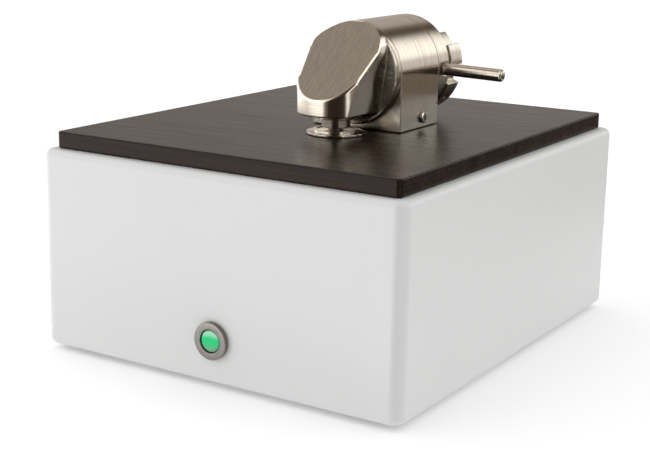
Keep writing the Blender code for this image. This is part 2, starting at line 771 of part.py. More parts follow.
def make_block(fixed):
    data = plate_mesh("press_block", block_outline(), BLOCK_LENGTH)
    block = place(
        "press_block", data, "brushed_steel", at=(0, BLOCK_LENGTH, 0), turn=ALONG_MINUS_Y, parent=fixed
    )
    round_edges(block, BLOCK_EDGE, 1)
    cut(block, bar_cutter(
        "shaft bore", BUSH_RADIUS + SEAT_GAP, BLOCK_LENGTH + 2 * OVERRUN, ROUND,
        at=(0, -OVERRUN, 0), turn=ALONG_Y, parent=fixed,
    ))
    for i, (x, y) in enumerate(press_screw_places()):
        place_x, place_y = x - PRESS_X, y - BLOCK_FRONT_Y
        cut(block, bar_cutter(
            "block screw hole %d" % (i + 1), PRESS_SCREW_RADIUS + SEAT_GAP, PRESS_SCREW_REACH + OVERRUN,
            at=(place_x, place_y, -AXIS_HEIGHT - OVERRUN + 2 * SEAT_GAP), parent=fixed,
        ))
        length = DECK_THICKNESS - PRESS_SCREW_HEAD - SEAT_GAP + PRESS_SCREW_REACH - SEAT_GAP
        screw(
            "press_screw_%d" % (i + 1), PRESS_SCREW_RADIUS, length, PRESS_SCREW_HEAD_RADIUS,
            PRESS_SCREW_HEAD,
            "polished_steel", at=(x, y, DECK_BOTTOM + PRESS_SCREW_HEAD + SEAT_GAP),
        )
    make_side_screws(block, fixed)
    cut(
        block,
        bar_cutter(
            "stop pin seat", STOP_PIN_RADIUS + SEAT_GAP, STOP_PIN_SEAT + OVERRUN, at=stop_pin_at(
                BLOCK_LENGTH - STOP_PIN_SEAT
            ), turn=ALONG_Y, parent=fixed,
        ),
        bar_cutter(
            "side pip", PIP_RADIUS, PIP_DEPTH + OVERRUN,
            at=(BLOCK_RADIUS - PIP_DEPTH, BLOCK_LENGTH - PIP_SIDE_INSET, PIP_SIDE_HEIGHT - AXIS_HEIGHT),
            turn=ALONG_X, parent=fixed,
        ),
    )
    turned(
        "stop_pin", [
            (0, STOP_PIN_SEAT + STOP_PIN_REACH - SEAT_GAP),
            (STOP_PIN_RADIUS, STOP_PIN_SEAT + STOP_PIN_REACH - SEAT_GAP), (STOP_PIN_RADIUS, 0), (0, 0),
        ], "polished_steel", steps=SMALL, at=stop_pin_at(BLOCK_LENGTH - STOP_PIN_SEAT + SEAT_GAP),
        turn=ALONG_Y,
        parent=fixed,
    )


def stop_pin_at(y):
    return (STOP_PIN_ORBIT * math.cos(STOP_PIN_ANGLE), y, STOP_PIN_ORBIT * math.sin(STOP_PIN_ANGLE))


# Slotted screws in the block's flat sides
def make_side_screws(block, fixed):
    height = SIDE_SCREW_HEIGHT - AXIS_HEIGHT
    for name, side, turn in (("side_screw_right", 1, ALONG_MINUS_X), ("side_screw_left", -1, ALONG_X)):
        seat = side * BLOCK_RADIUS
        cut(block, bar_cutter(
            name + " hole", SIDE_SCREW_RADIUS + SEAT_GAP, SIDE_SCREW_LENGTH + OVERRUN,
            at=(seat - side * (SIDE_SCREW_LENGTH + SEAT_GAP), SIDE_SCREW_Y, height),
            turn=ALONG_X if side > 0 else ALONG_MINUS_X, parent=fixed,
        ))
        made = screw(
            name, SIDE_SCREW_RADIUS, SIDE_SCREW_LENGTH, SIDE_SCREW_HEAD_RADIUS, SIDE_SCREW_HEAD,
            "polished_steel", at=(seat + side * SEAT_GAP, SIDE_SCREW_Y, height), turn=turn, parent=fixed,
        )
        cut(made, box_cutter(
            name + " slot", SIDE_SCREW_HEAD, SIDE_SCREW_SLOT, 3 * SIDE_SCREW_HEAD_RADIUS,
            at=(seat + side * (SEAT_GAP + SIDE_SCREW_HEAD), SIDE_SCREW_Y, height), parent=fixed,
        ))


def make_bushes(fixed):
    inner = SHAFT_RADIUS + SEAT_GAP
    for name, start in (("front_bush", SEAT_GAP), ("rear_bush", BLOCK_LENGTH - SEAT_GAP - BUSH_LENGTH)):
        profile = [(BUSH_RADIUS, BUSH_LENGTH), (BUSH_RADIUS, 0), (inner, 0), (inner, BUSH_LENGTH)]
        turned(name, profile, "bronze", closed=True, at=(0, start, 0), turn=ALONG_Y, parent=fixed)


def make_shaft(arm):
    length = SHAFT_SOCKET - SEAT_GAP + HUB_BACK - HUB_SCREW_HEAD - 2 * SEAT_GAP
    edge = SEAT_GAP
    profile = [
        (0, length), (SHAFT_RADIUS - edge, length), (SHAFT_RADIUS, length - edge), (SHAFT_RADIUS, edge),
        (SHAFT_RADIUS - edge, 0), (0, 0),
    ]
    shaft = turned(
        "press_shaft", profile, "polished_steel", at=(0, -SHAFT_SOCKET + SEAT_GAP, 0), turn=ALONG_Y,
        parent=arm
    )
    back = length - SHAFT_SOCKET + SEAT_GAP
    cut(shaft, bar_cutter(
        "shaft tapping", HUB_SCREW_RADIUS + SEAT_GAP, HUB_SCREW_LENGTH + OVERRUN + SEAT_GAP,
        at=(0, back - HUB_SCREW_LENGTH - SEAT_GAP, 0), turn=ALONG_Y, parent=arm,
    ))


# Height of the head's top over a point of its plan: the rounded back or the oblique face
def head_top(x, y):
    rounded = math.sqrt(max(HEAD_LIMIT * HEAD_LIMIT - x * x, 0))
    return min(rounded, y * math.tan(FACE_TILT) + FACE_RISE)


# Half width between the sides: upright above, leaning in below, and flared towards the flange
def head_side(y, z, inset):
    leaning = SIDE_CORNER_X + (y + SIDE_CORNER_REACH) * math.tan(SIDE_FLARE)
    leaning += (z - HEAD_BOTTOM) * math.tan(SIDE_LEAN)
    return min(HEAD_RADIUS, leaning) - inset


# The point of the round front at an angle from the x axis, with its height
def front_point(height, inset, angle):
    radius = HEAD_RADIUS - inset
    x, y = radius * math.cos(angle), -HEAD_REACH - radius * math.sin(angle)
    return x, y, height(x, y)


# The angle at which the round front meets the side
def meeting_angle(height, inset):
    low, high = 0, math.pi / 2
    for _ in range(40):
        middle = (low + high) / 2
        x, y, z = front_point(height, inset, middle)
        if x > head_side(y, z, inset):
            low = middle
        else:
            high = middle
    return high


# The point of the side at a given y, with its height
def side_point(height, inset, y):
    x = HEAD_RADIUS - inset
    for _ in range(20):
        x = head_side(y, height(x, y), inset)
    return x, y, height(x, y)


# Heights of the loft's middle rings, as shares of the way up
BODY_RING_SHARES = (0.3, 0.6, 0.76)

# Steps along each side of the oblique face, and along the rounded back behind it
FACE_STEPS = 5
BACK_STEPS = 2


# Outline of the upright body from its left rear round the front to its right rear
def head_section(height, inset):
    meeting = meeting_angle(height, inset)
    front_y = front_point(height, inset, meeting)[1]
    end_z = math.sqrt(HEAD_LIMIT * HEAD_LIMIT - HEAD_RADIUS * HEAD_RADIUS)
    end_y = (end_z - FACE_RISE) / math.tan(FACE_TILT)
    places = [front_y + (end_y - front_y) * i / FACE_STEPS for i in range(1, FACE_STEPS + 1)]
    places += [end_y + (HEAD_REAR - end_y) * i / BACK_STEPS for i in range(1, BACK_STEPS + 1)]
    right = [side_point(height, inset, y) for y in places]
    steps = FINE // 3
    sweep = math.pi - 2 * meeting
    front = [front_point(height, inset, math.pi - meeting - sweep * i / steps) for i in range(steps + 1)]
    return [(-x, y, z) for x, y, z in reversed(right)] + front + right


# Outward directions of the wall and of the top along the upper rim
def rim_directions(rim):
    oblique = Vector((0, -math.sin(FACE_TILT), math.cos(FACE_TILT)))
    for i, (x, y, z) in enumerate(rim):
        steps = min(i, len(rim) - 1 - i)
        wall = Vector((x, y + HEAD_REACH, 0)).normalized()
        if steps <= FACE_STEPS + BACK_STEPS:
            side = Vector((math.copysign(1, x), 0, 0))
            if abs(x) < HEAD_RADIUS - WELD:
                side -= Vector((0, math.tan(SIDE_FLARE), math.tan(SIDE_LEAN)))
                side.normalize()
            wall = side if steps < FACE_STEPS + BACK_STEPS else (side + wall).normalized()
        top = oblique
        if steps <= BACK_STEPS:
            rounded = Vector((x, 0, z)).normalized()
            top = rounded if steps < BACK_STEPS else (rounded + oblique).normalized()
        yield wall, top


# A point of the rounded rim, whose share goes from the wall to the top
def rim_point(corner, wall, top, share):
    half = wall.angle(top) / 2
    along = wall.cross(top).normalized()
    reach = FACE_EDGE * math.tan(half)
    low = Vector(corner) + wall.cross(along) * reach
    high = Vector(corner) + along.cross(top) * reach
    weights = ((1 - share) ** 2, 2 * share * (1 - share) * math.cos(half), share ** 2)
    total = low * weights[0] + Vector(corner) * weights[1] + high * weights[2]
    return total / sum(weights)


# The upright body is a loft, since its outline changes with height and its rim is rounded off
def head_loft_mesh():
    foot = HEAD_BOTTOM + HEAD_BOTTOM_EDGE
    outlines = []
    for a in reversed(quarter_steps(3)):
        drop = HEAD_BOTTOM_EDGE * math.sin(a)
        outlines.append(head_section(lambda x, y: foot - drop, HEAD_BOTTOM_EDGE * (1 - math.cos(a))))
    for share in BODY_RING_SHARES:
        outlines.append(head_section(lambda x, y: foot + (head_top(x, y) - foot) * share, 0))
    rim = head_section(head_top, 0)
    directions = list(rim_directions(rim))
    steps = 5
    for i in range(steps + 1):
        outlines.append([rim_point(corner, *pair, i / steps) for corner, pair in zip(rim, directions)])
    for point in outlines[-1]:
        point.z = head_top(point.x, point.y)
    for point in (outlines[-1][BACK_STEPS], outlines[-1][-BACK_STEPS - 1]):
        point.z = math.sqrt(HEAD_LIMIT * HEAD_LIMIT - point.x * point.x)
        point.y = (point.z - FACE_RISE) / math.tan(FACE_TILT)
    shape = bmesh.new()
    rings = [[shape.verts.new(p) for p in outline] for outline in outlines]
    for low, high in zip(rings, rings[1:]):
        for i in range(len(low)):
            j = (i + 1) % len(low)
            shape.faces.new((low[i], low[j], high[j], high[i]))
    shape.faces.new(list(reversed(rings[0])))
    close_head_top(shape, rings[-1])
    data = bpy.data.meshes.new("press_head")
    shape.to_mesh(data)
    shape.free()
    return smooth_mesh(data)


# The flat oblique face, the rounded back to each side of it and the end inside the flange
def close_head_top(shape, ring):
    level = FACE_RISE + HEAD_REAR * math.tan(FACE_TILT)
    meet_x = math.sqrt(HEAD_LIMIT * HEAD_LIMIT - level * level)
    left_rim, right_rim = ring[:BACK_STEPS + 1], ring[:-BACK_STEPS - 2:-1]
    ridges, backs = [], []
    steps = 8
    for side, rim in ((-1, left_rim), (1, right_rim)):
        tip = shape.verts.new((side * meet_x, HEAD_REAR, level))
        ridge, back = [rim[-1]], [rim[0]]
        edge_x = abs(rim[-1].co.x)
        for i in range(1, steps):
            x = edge_x + (meet_x - edge_x) * i / steps
            height = math.sqrt(HEAD_LIMIT * HEAD_LIMIT - x * x)
            ridge.append(shape.verts.new((side * x, (height - FACE_RISE) / math.tan(FACE_TILT), height)))
            back.append(shape.verts.new((side * x, HEAD_REAR, height)))
        loops = [[ridge[1], back[1]] + rim]
        loops += [[ridge[i], ridge[i + 1], back[i + 1], back[i]] for i in range(1, steps - 1)]
        loops.append([ridge[-1], tip, back[-1]])
        for loop in loops:
            shape.faces.new(loop if side < 0 else list(reversed(loop)))
        ridges.append(ridge + [tip])
        backs.append(back + [tip])
    shape.faces.new(ring[BACK_STEPS:-BACK_STEPS] + ridges[1][1:] + list(reversed(ridges[0][1:])))
    shape.faces.new(backs[0] + list(reversed(backs[1])))


def make_head(arm):
    head = place("press_head", head_loft_mesh(), "brushed_steel", parent=arm)
    flange = [(0, 0), (BLOCK_RADIUS, 0), (BLOCK_RADIUS, -FLANGE_RIM)]
    for a in quarter_steps(3)[1:]:
        flange.append((
            BLOCK_RADIUS - FLANGE_BEVEL * (1 - math.cos(a)),
            -FLANGE_RIM - FLANGE_BEVEL_DEPTH * math.sin(a)
        ))
    flange.append((0, -FLANGE_RIM - FLANGE_BEVEL_DEPTH))
    disc = turned("flange", flange, None, steps=FINE, at=(0, FLANGE_BACK, 0), turn=ALONG_Y, parent=arm)
    slab = 3 * BLOCK_RADIUS
    middle = FACE_OFFSET - HEAD_STEP + slab / 2
    cut(disc, box_cutter(
        "oblique cut", slab, slab, slab, turn=(FACE_TILT, 0, 0), parent=arm,
        at=(0, -middle * math.sin(FACE_TILT), middle * math.cos(FACE_TILT)),
    ))
    cut(
        head,
        bar_cutter(
            "guide bore", GUIDE_RADIUS + SEAT_GAP, GUIDE_DEPTH + OVERRUN, ROUND,
            at=(0, -ANVIL_REACH, HEAD_BOTTOM - OVERRUN), parent=arm,
        ),
        bar_cutter(
            "spring chamber", CHAMBER_RADIUS, CHAMBER_LENGTH + GUIDE_DEPTH / 2, ROUND,
            at=(0, -ANVIL_REACH, GUIDE_TOP - GUIDE_DEPTH / 2), parent=arm,
        ),
    )
    join(head, as_cutter(disc))
    cut(head, bar_cutter(
        "shaft socket", SHAFT_RADIUS + SEAT_GAP, SHAFT_SOCKET + FLANGE_BACK + OVERRUN, ROUND,
        at=(0, -SHAFT_SOCKET, 0), turn=ALONG_Y, parent=arm,
    ))


def make_anvil(arm):
    bore = ANVIL_RADIUS + SEAT_GAP
    low = HEAD_BOTTOM - SEAT_GAP
    guide = [
        (GUIDE_RADIUS, GUIDE_TOP - SEAT_GAP), (GUIDE_RADIUS, low), (GUIDE_CONE_TOP, low),
        (GUIDE_CONE_BOTTOM, low - GUIDE_CONE_LENGTH), (bore, low - GUIDE_CONE_LENGTH),
        (bore, GUIDE_TOP - SEAT_GAP),
    ]
    turned("anvil_guide", guide, "polished_steel", closed=True, at=(0, -ANVIL_REACH, 0), parent=arm)
    slide = add_empty("anvil_axis", (0, -ANVIL_REACH, 0), arm)
    piston_top = GUIDE_TOP + ANVIL_PISTON
    tip_edge = ANVIL_BOTTOM + ANVIL_CHAMFER
    anvil = [
        (0, piston_top + ANVIL_STEM), (ANVIL_STEM_RADIUS, piston_top + ANVIL_STEM),
        (ANVIL_STEM_RADIUS, piston_top), (ANVIL_PISTON_RADIUS, piston_top),
        (ANVIL_PISTON_RADIUS, GUIDE_TOP),
        (ANVIL_RADIUS, GUIDE_TOP), (ANVIL_RADIUS, tip_edge + ANVIL_CHAMFER),
        (ANVIL_RADIUS - ANVIL_CHAMFER, tip_edge), (ANVIL_TIP_RADIUS, tip_edge),
        (ANVIL_TIP_RADIUS, ANVIL_BOTTOM),
        (0, ANVIL_BOTTOM),
    ]
    turned("anvil", anvil, "polished_steel", parent=slide)
    make_spring(arm, piston_top + SEAT_GAP, CHAMBER_TOP - SEAT_GAP)


# A compression spring, one unbroken tube whose coils keep an even pitch
def make_spring(arm, bottom, top):
    curve = bpy.data.curves.new("anvil_spring", "CURVE")
    curve.dimensions = "3D"
    curve.bevel_depth = SPRING_WIRE
    curve.bevel_resolution = 1
    curve.use_fill_caps = True
    per_turn = 10
    count = SPRING_TURNS * per_turn + 1
    spline = curve.splines.new("POLY")
    spline.points.add(count - 1)
    low, high = bottom + SPRING_WIRE, top - SPRING_WIRE
    for i, point in enumerate(spline.points):
        angle = 2 * math.pi * i / per_turn
        height = low + (high - low) * i / (count - 1)
        point.co = (SPRING_RADIUS * math.cos(angle), SPRING_RADIUS * math.sin(angle), height, 1)
    place("anvil_spring", curve, "spring_steel", at=(0, -ANVIL_REACH, 0), parent=arm)


def groove_outline():
    inner = STOP_PIN_ORBIT - STOP_PIN_RADIUS - STOP_GROOVE_CLEARANCE
    outer = STOP_PIN_ORBIT + STOP_PIN_RADIUS + STOP_GROOVE_CLEARANCE
    spare = (STOP_PIN_RADIUS + 2 * STOP_GROOVE_CLEARANCE) / STOP_PIN_ORBIT
    start = STOP_PIN_ANGLE + spare
    end = STOP_PIN_ANGLE - SWING_ANGLE - spare
    return arc(0, 0, outer, start, end, SMALL) + arc(0, 0, inner, end, start, SMALL)


def make_collar(arm):
    edge = COLLAR_EDGE
    bore = SHAFT_RADIUS + SEAT_GAP
    profile = [
        (BLOCK_RADIUS - edge, COLLAR_LENGTH), (BLOCK_RADIUS, COLLAR_LENGTH - edge), (BLOCK_RADIUS, edge),
        (BLOCK_RADIUS - edge, 0), (bore, 0), (bore, COLLAR_LENGTH),
    ]
    collar = turned(
        "lever_collar", profile, "brushed_steel", steps=FINE, closed=True, at=(0, COLLAR_FRONT, 0),
        turn=ALONG_Y,
        parent=arm,
    )
    cut(collar, plate_cutter(
        "stop groove", groove_outline(), STOP_GROOVE_DEPTH + OVERRUN,
        at=(0, COLLAR_FRONT + STOP_GROOVE_DEPTH, 0), turn=ALONG_MINUS_Y, parent=arm,
    ))
    cut(collar, radial_cutter(
        "lever hole", LEVER_RADIUS + SEAT_GAP, LEVER_ROOT - SEAT_GAP, LEVER_ANGLE, LEVER_Y, arm
    ))
    for i, angle in enumerate(COLLAR_PIP_ANGLES):
        name = "collar pip %d" % (i + 1)
        cut(collar, radial_cutter(name, PIP_RADIUS, BLOCK_RADIUS - PIP_DEPTH, angle, COLLAR_PIP_Y, arm))
    length = LEVER_REACH - LEVER_ROOT
    lever = [(0, length)]
    for a in quarter_steps(4)[1:]:
        lever.append((
            (LEVER_RADIUS - LEVER_TIP_EDGE) * math.sin(a), length - LEVER_DOME * (1 - math.cos(a))
        ))
    lever += [
        (LEVER_RADIUS, length - LEVER_DOME - LEVER_TIP_EDGE), (LEVER_RADIUS, LEVER_TIP_EDGE),
        (LEVER_RADIUS - LEVER_TIP_EDGE, 0), (0, 0),
    ]
    turned(
        "lever", lever, "polished_steel", turn=(0, math.pi / 2 - LEVER_ANGLE, 0), parent=arm,
        at=(LEVER_ROOT * math.cos(LEVER_ANGLE), LEVER_Y, LEVER_ROOT * math.sin(LEVER_ANGLE)),
    )


# A hole that runs out from the press axis, from a given radius past the rim
def radial_cutter(name, radius, start, angle, y, arm):
    return bar_cutter(
        name, radius, BLOCK_RADIUS + OVERRUN - start,
        at=(start * math.cos(angle), y, start * math.sin(angle)),
        turn=(0, math.pi / 2 - angle, 0), parent=arm,
    )


# A hub with two lugs that stand out past the collar and a smaller neck behind it, drawn as one outline
def hub_outline():
    upper_start, upper_end = HUB_UPPER_LUG
    lower_start, lower_end = HUB_LOWER_LUG
    points = arc(0, 0, HUB_LUG, lower_start, lower_end, 24)
    points += arc(0, 0, HUB_RADIUS, lower_end, upper_start, 5)
    points += arc(0, 0, HUB_LUG, upper_start, upper_end, 6)
    points += arc(0, 0, HUB_RADIUS, upper_end, HUB_STEP, 5)
    points += arc(0, 0, HUB_NECK, HUB_STEP, lower_start + 2 * math.pi, 28)
    return points


def make_hub(arm):
    hub = place(
        "stop_hub", plate_mesh("stop_hub", hub_outline(), HUB_LENGTH), "brushed_steel",
        at=(0, HUB_BACK, 0),
        turn=ALONG_MINUS_Y, parent=arm,
    )
    cut(
        hub,
        bar_cutter(
            "hub bore", SHAFT_RADIUS + SEAT_GAP, HUB_LENGTH - HUB_SCREW_HEAD + OVERRUN, ROUND,
            at=(0, HUB_FRONT - OVERRUN, 0), turn=ALONG_Y, parent=arm,
        ),
        bar_cutter(
            "hub recess", SHAFT_RADIUS + SEAT_GAP, HUB_SCREW_HEAD + 2 * OVERRUN, ROUND,
            at=(0, HUB_BACK - HUB_SCREW_HEAD - OVERRUN, 0), turn=ALONG_Y, parent=arm,
        ),
        radial_cutter(
            "set screw hole", SET_SCREW_RADIUS + SEAT_GAP,
            HUB_LUG - SET_SCREW_SINK - SET_SCREW_LENGTH - SEAT_GAP, SET_SCREW_ANGLE,
            (HUB_FRONT + HUB_BACK) / 2, arm,
        ),
    )
    bolt = screw(
        "hub_screw", HUB_SCREW_RADIUS, HUB_SCREW_LENGTH, HUB_SCREW_HEAD_RADIUS, HUB_SCREW_HEAD,
        "polished_steel", at=(0, HUB_BACK - HUB_SCREW_HEAD, 0), turn=ALONG_MINUS_Y, parent=arm,
    )
    socket = arc(0, 0, HUB_SCREW_SOCKET, 0, 2 * math.pi * 5 / 6, 5)
    cut(bolt, plate_cutter(
        "hub screw socket", socket, HUB_SCREW_HEAD, at=(0, HUB_BACK + HUB_SCREW_HEAD / 2, 0),
        turn=ALONG_MINUS_Y,
        parent=arm,
    ))
    start = HUB_LUG - SET_SCREW_SINK - SET_SCREW_LENGTH
    middle = (HUB_FRONT + HUB_BACK) / 2
    edge = SEAT_GAP
    body = [
        (0, SET_SCREW_LENGTH / 2), (SET_SCREW_SOCKET, SET_SCREW_LENGTH / 2),
        (SET_SCREW_SOCKET, SET_SCREW_LENGTH - edge), (SET_SCREW_SOCKET + edge, SET_SCREW_LENGTH),
        (SET_SCREW_RADIUS - edge, SET_SCREW_LENGTH), (SET_SCREW_RADIUS, SET_SCREW_LENGTH - edge),
        (SET_SCREW_RADIUS, 0), (0, 0),
    ]
    turned(
        "hub_set_screw", body, "polished_steel", steps=SMALL, parent=arm,
        at=(start * math.cos(SET_SCREW_ANGLE), middle, start * math.sin(SET_SCREW_ANGLE)),
        turn=(0, math.pi / 2 - SET_SCREW_ANGLE, 0),
    )


def make_crystal_plate():
    top = PLATE_THICKNESS + RING_HEIGHT
    pocket = CRYSTAL_RADIUS + SEAT_GAP
    floor = top - CRYSTAL_THICKNESS - SEAT_GAP
    dish = top - RING_DISH_DEPTH
    profile = [
        (RING_DISH_OUTER, dish), (RING_DISH_OUTER + RING_DISH_DEPTH, top),
        (RING_RADIUS - PLATE_EDGE, top),
        (RING_RADIUS, top - PLATE_EDGE), (RING_RADIUS, PLATE_THICKNESS),
        (PLATE_RADIUS - PLATE_EDGE, PLATE_THICKNESS),
        (PLATE_RADIUS, PLATE_THICKNESS - PLATE_EDGE), (PLATE_RADIUS, 0), (PLATE_SPIGOT_RADIUS, 0),
        (PLATE_SPIGOT_RADIUS, -PLATE_SPIGOT_LENGTH), (CRYSTAL_WINDOW, -PLATE_SPIGOT_LENGTH),
        (CRYSTAL_WINDOW, floor), (pocket, floor), (pocket, top), (RING_DISH_INNER - RING_DISH_DEPTH, top),
        (RING_DISH_INNER, dish),
    ]
    where = (PRESS_X, ANVIL_Y, DECK_TOP + SEAT_GAP)
    turned("crystal_plate", profile, "polished_steel", steps=32, closed=True, at=where)
    data = bar_mesh("crystal", CRYSTAL_RADIUS, CRYSTAL_THICKNESS, SMALL)
    seat = DECK_TOP + 2 * SEAT_GAP + floor
    place("crystal", data, "crystal", at=(PRESS_X, ANVIL_Y, seat))


def make_bench():
    outline = rounded_rectangle(BENCH_WIDTH, BENCH_DEPTH, BENCH_CORNER)
    bench = place(
        "optical_bench", plate_mesh("optical_bench", outline, BENCH_THICKNESS), "cast_aluminium",
        at=(0, BENCH_Y, BENCH_TOP - BENCH_THICKNESS),
    )
    rail_height = RAIL_HEIGHT + BENCH_THICKNESS / 2
    rail = place(
        "rail", box_mesh("rail", RAIL_LENGTH, RAIL_WIDTH, rail_height), None,
        at=(CARRIAGE_X, SPLITTER_Y, BENCH_TOP + RAIL_HEIGHT - rail_height / 2),
    )
    join(bench, as_cutter(rail))
    bottom = BASE_TOP + SEAT_GAP
    top = BENCH_TOP - BENCH_THICKNESS - SEAT_GAP
    lip = (BENCH_MOUNT_RADIUS - BENCH_MOUNT_WAIST) * 2
    profile = [
        (0, top), (BENCH_MOUNT_RADIUS, top), (BENCH_MOUNT_RADIUS, top - lip / 2),
        (BENCH_MOUNT_WAIST, top - lip),
        (BENCH_MOUNT_WAIST, bottom + lip), (BENCH_MOUNT_RADIUS, bottom + lip / 2),
        (BENCH_MOUNT_RADIUS, bottom),
        (0, bottom),
    ]
    half_x = BENCH_WIDTH / 2 - BENCH_MOUNT_INSET
    half_y = BENCH_DEPTH / 2 - BENCH_MOUNT_INSET
    for i, (x, y) in enumerate(((-half_x, -half_y), (half_x, -half_y), (0, half_y))):
        turned("bench_mount_%d" % (i + 1), profile, "rubber", steps=SMALL, at=(x, BENCH_Y + y, 0))


def make_interferometer():
    middle = BENCH_SEAT + SPLITTER_BLOCK_HEIGHT / 2
    block = place(
        "splitter_block",
        box_mesh("splitter_block", SPLITTER_BLOCK, SPLITTER_BLOCK, SPLITTER_BLOCK_HEIGHT),
        "cast_aluminium", at=(SPLITTER_X, SPLITTER_Y, middle),
    )
    round_edges(block, SEAT_GAP, 1)
    reach = SPLITTER_BLOCK + 2 * OVERRUN
    slot_width = 2 * (SPLITTER_RADIUS + SEAT_GAP)
    slot_bottom = BEAM_Z - SPLITTER_RADIUS - SEAT_GAP
    slot_height = BENCH_SEAT + SPLITTER_BLOCK_HEIGHT + OVERRUN - slot_bottom
    cut(
        block,
        bar_cutter(
            "beam bore along x", SPLITTER_BORE, reach, at=(SPLITTER_X - reach / 2, SPLITTER_Y, BEAM_Z),
            turn=ALONG_X
        ),
        bar_cutter(
            "beam bore along y", SPLITTER_BORE, reach, at=(SPLITTER_X, SPLITTER_Y - reach / 2, BEAM_Z),
            turn=ALONG_Y
        ),
        box_cutter(
            "splitter slot", slot_width, SPLITTER_THICKNESS + 2 * SEAT_GAP, slot_height,
            at=(SPLITTER_X, SPLITTER_Y, slot_bottom + slot_height / 2), turn=(0, 0, math.pi / 4),
        ),
    )
    half = SPLITTER_THICKNESS / 2 * math.sin(math.pi / 4)
    place(
        "beam_splitter", bar_mesh("beam_splitter", SPLITTER_RADIUS, SPLITTER_THICKNESS, ROUND), "crystal",
        at=(SPLITTER_X + half, SPLITTER_Y - half, BEAM_Z), turn=(-math.pi / 2, 0, math.pi / 4),
    )
    place(
        "fixed_mirror", bar_mesh("fixed_mirror", FIXED_MIRROR_RADIUS, FIXED_MIRROR_THICKNESS, ROUND),
        "mirror_coat", at=(SPLITTER_X, SPLITTER_Y + SPLITTER_BLOCK / 2 + SEAT_GAP, BEAM_Z), turn=ALONG_Y,
    )


# The scanning mirror, its carriage on the bench's rail, and the voice coil that drives it
def make_scanner():
    frame = add_empty("carriage_axis", (CARRIAGE_X, SPLITTER_Y, BENCH_SEAT))
    carriage = place(
        "mirror_carriage", box_mesh("mirror_carriage", CARRIAGE_LENGTH, CARRIAGE_WIDTH, CARRIAGE_HEIGHT),
        "cast_aluminium", at=(0, 0, CARRIAGE_HEIGHT / 2), parent=frame,
    )
    round_edges(carriage, SEAT_GAP, 1)
    cut(carriage, box_cutter(
        "rail groove", CARRIAGE_LENGTH + 2 * OVERRUN, RAIL_WIDTH + 2 * SEAT_GAP, 2 * RAIL_HEIGHT,
        at=(0, 0, 0), parent=frame,
    ))
    beam = BEAM_Z - BENCH_SEAT
    front = -CARRIAGE_LENGTH / 2 - SEAT_GAP
    place(
        "moving_mirror", bar_mesh("moving_mirror", MOVING_MIRROR_RADIUS, MOVING_MIRROR_THICKNESS, ROUND),
        "mirror_coat", at=(front, 0, beam), turn=ALONG_MINUS_X, parent=frame,
    )
    back = CARRIAGE_LENGTH / 2 + SEAT_GAP
    tube = [(COIL_RADIUS, COIL_LENGTH), (COIL_RADIUS, 0), (COIL_BORE, 0), (COIL_BORE, COIL_LENGTH)]
    turned("drive_coil", tube, "copper", closed=True, at=(back, 0, beam), turn=ALONG_X, parent=frame)
    magnet_x = CARRIAGE_X + back + CARRIAGE_TRAVEL + MAGNET_GAP
    magnet = place(
        "drive_magnet", box_mesh("drive_magnet", MAGNET_LENGTH, MAGNET_WIDTH, MAGNET_HEIGHT),
        "sheet_metal",
        at=(magnet_x + MAGNET_LENGTH / 2, SPLITTER_Y, BENCH_SEAT + MAGNET_HEIGHT / 2),
    )
    round_edges(magnet, SEAT_GAP, 1)
    outer, inner = COIL_RADIUS + MAGNET_GAP, COIL_BORE - MAGNET_GAP
    ring = [
        (outer, MAGNET_BORE_DEPTH), (outer, -OVERRUN), (inner, -OVERRUN), (inner, MAGNET_BORE_DEPTH),
    ]
    annulus = turned("magnet gap", ring, None, closed=True, at=(magnet_x, SPLITTER_Y, BEAM_Z), turn=ALONG_X)
    cut(magnet, as_cutter(annulus))


def make_source():
    middle = BENCH_SEAT + SOURCE_HEIGHT / 2
    housing = place(
        "source_housing", box_mesh("source_housing", SOURCE_LENGTH, SOURCE_WIDTH, SOURCE_HEIGHT),
        "cast_aluminium", at=(SOURCE_X, SPLITTER_Y, middle),
    )
    round_edges(housing, SEAT_GAP, 1)
    front = SOURCE_X + SOURCE_LENGTH / 2
    steps = 6
    cup = [(0, OVERRUN), (SOURCE_CUP_RADIUS, OVERRUN)]
    for i in range(steps + 1):
        share = 1 - i / steps
        cup.append((SOURCE_CUP_RADIUS * share, -SOURCE_CUP_DEPTH * (1 - share * share)))
    reflector = turned("reflector cup", cup, None, at=(front, SPLITTER_Y, BEAM_Z), turn=ALONG_X)
    back = SOURCE_X - SOURCE_LENGTH / 2
    cut(
        housing,
        as_cutter(reflector),
        bar_cutter(
            "source holder bore", SOURCE_HOLDER_RADIUS + SEAT_GAP, SOURCE_LENGTH,
            at=(back - OVERRUN, SPLITTER_Y, BEAM_Z),
            turn=ALONG_X,
        ),
    )
    total = SOURCE_HOLDER_LENGTH + EMITTER_LENGTH
    emitter = [
        (0, total), (EMITTER_RADIUS, total), (EMITTER_RADIUS, SOURCE_HOLDER_LENGTH),
        (SOURCE_HOLDER_RADIUS, SOURCE_HOLDER_LENGTH), (SOURCE_HOLDER_RADIUS, 0), (0, 0),
    ]
    turned("ir_source", emitter, "ceramic", steps=SMALL, at=(back, SPLITTER_Y, BEAM_Z), turn=ALONG_X)


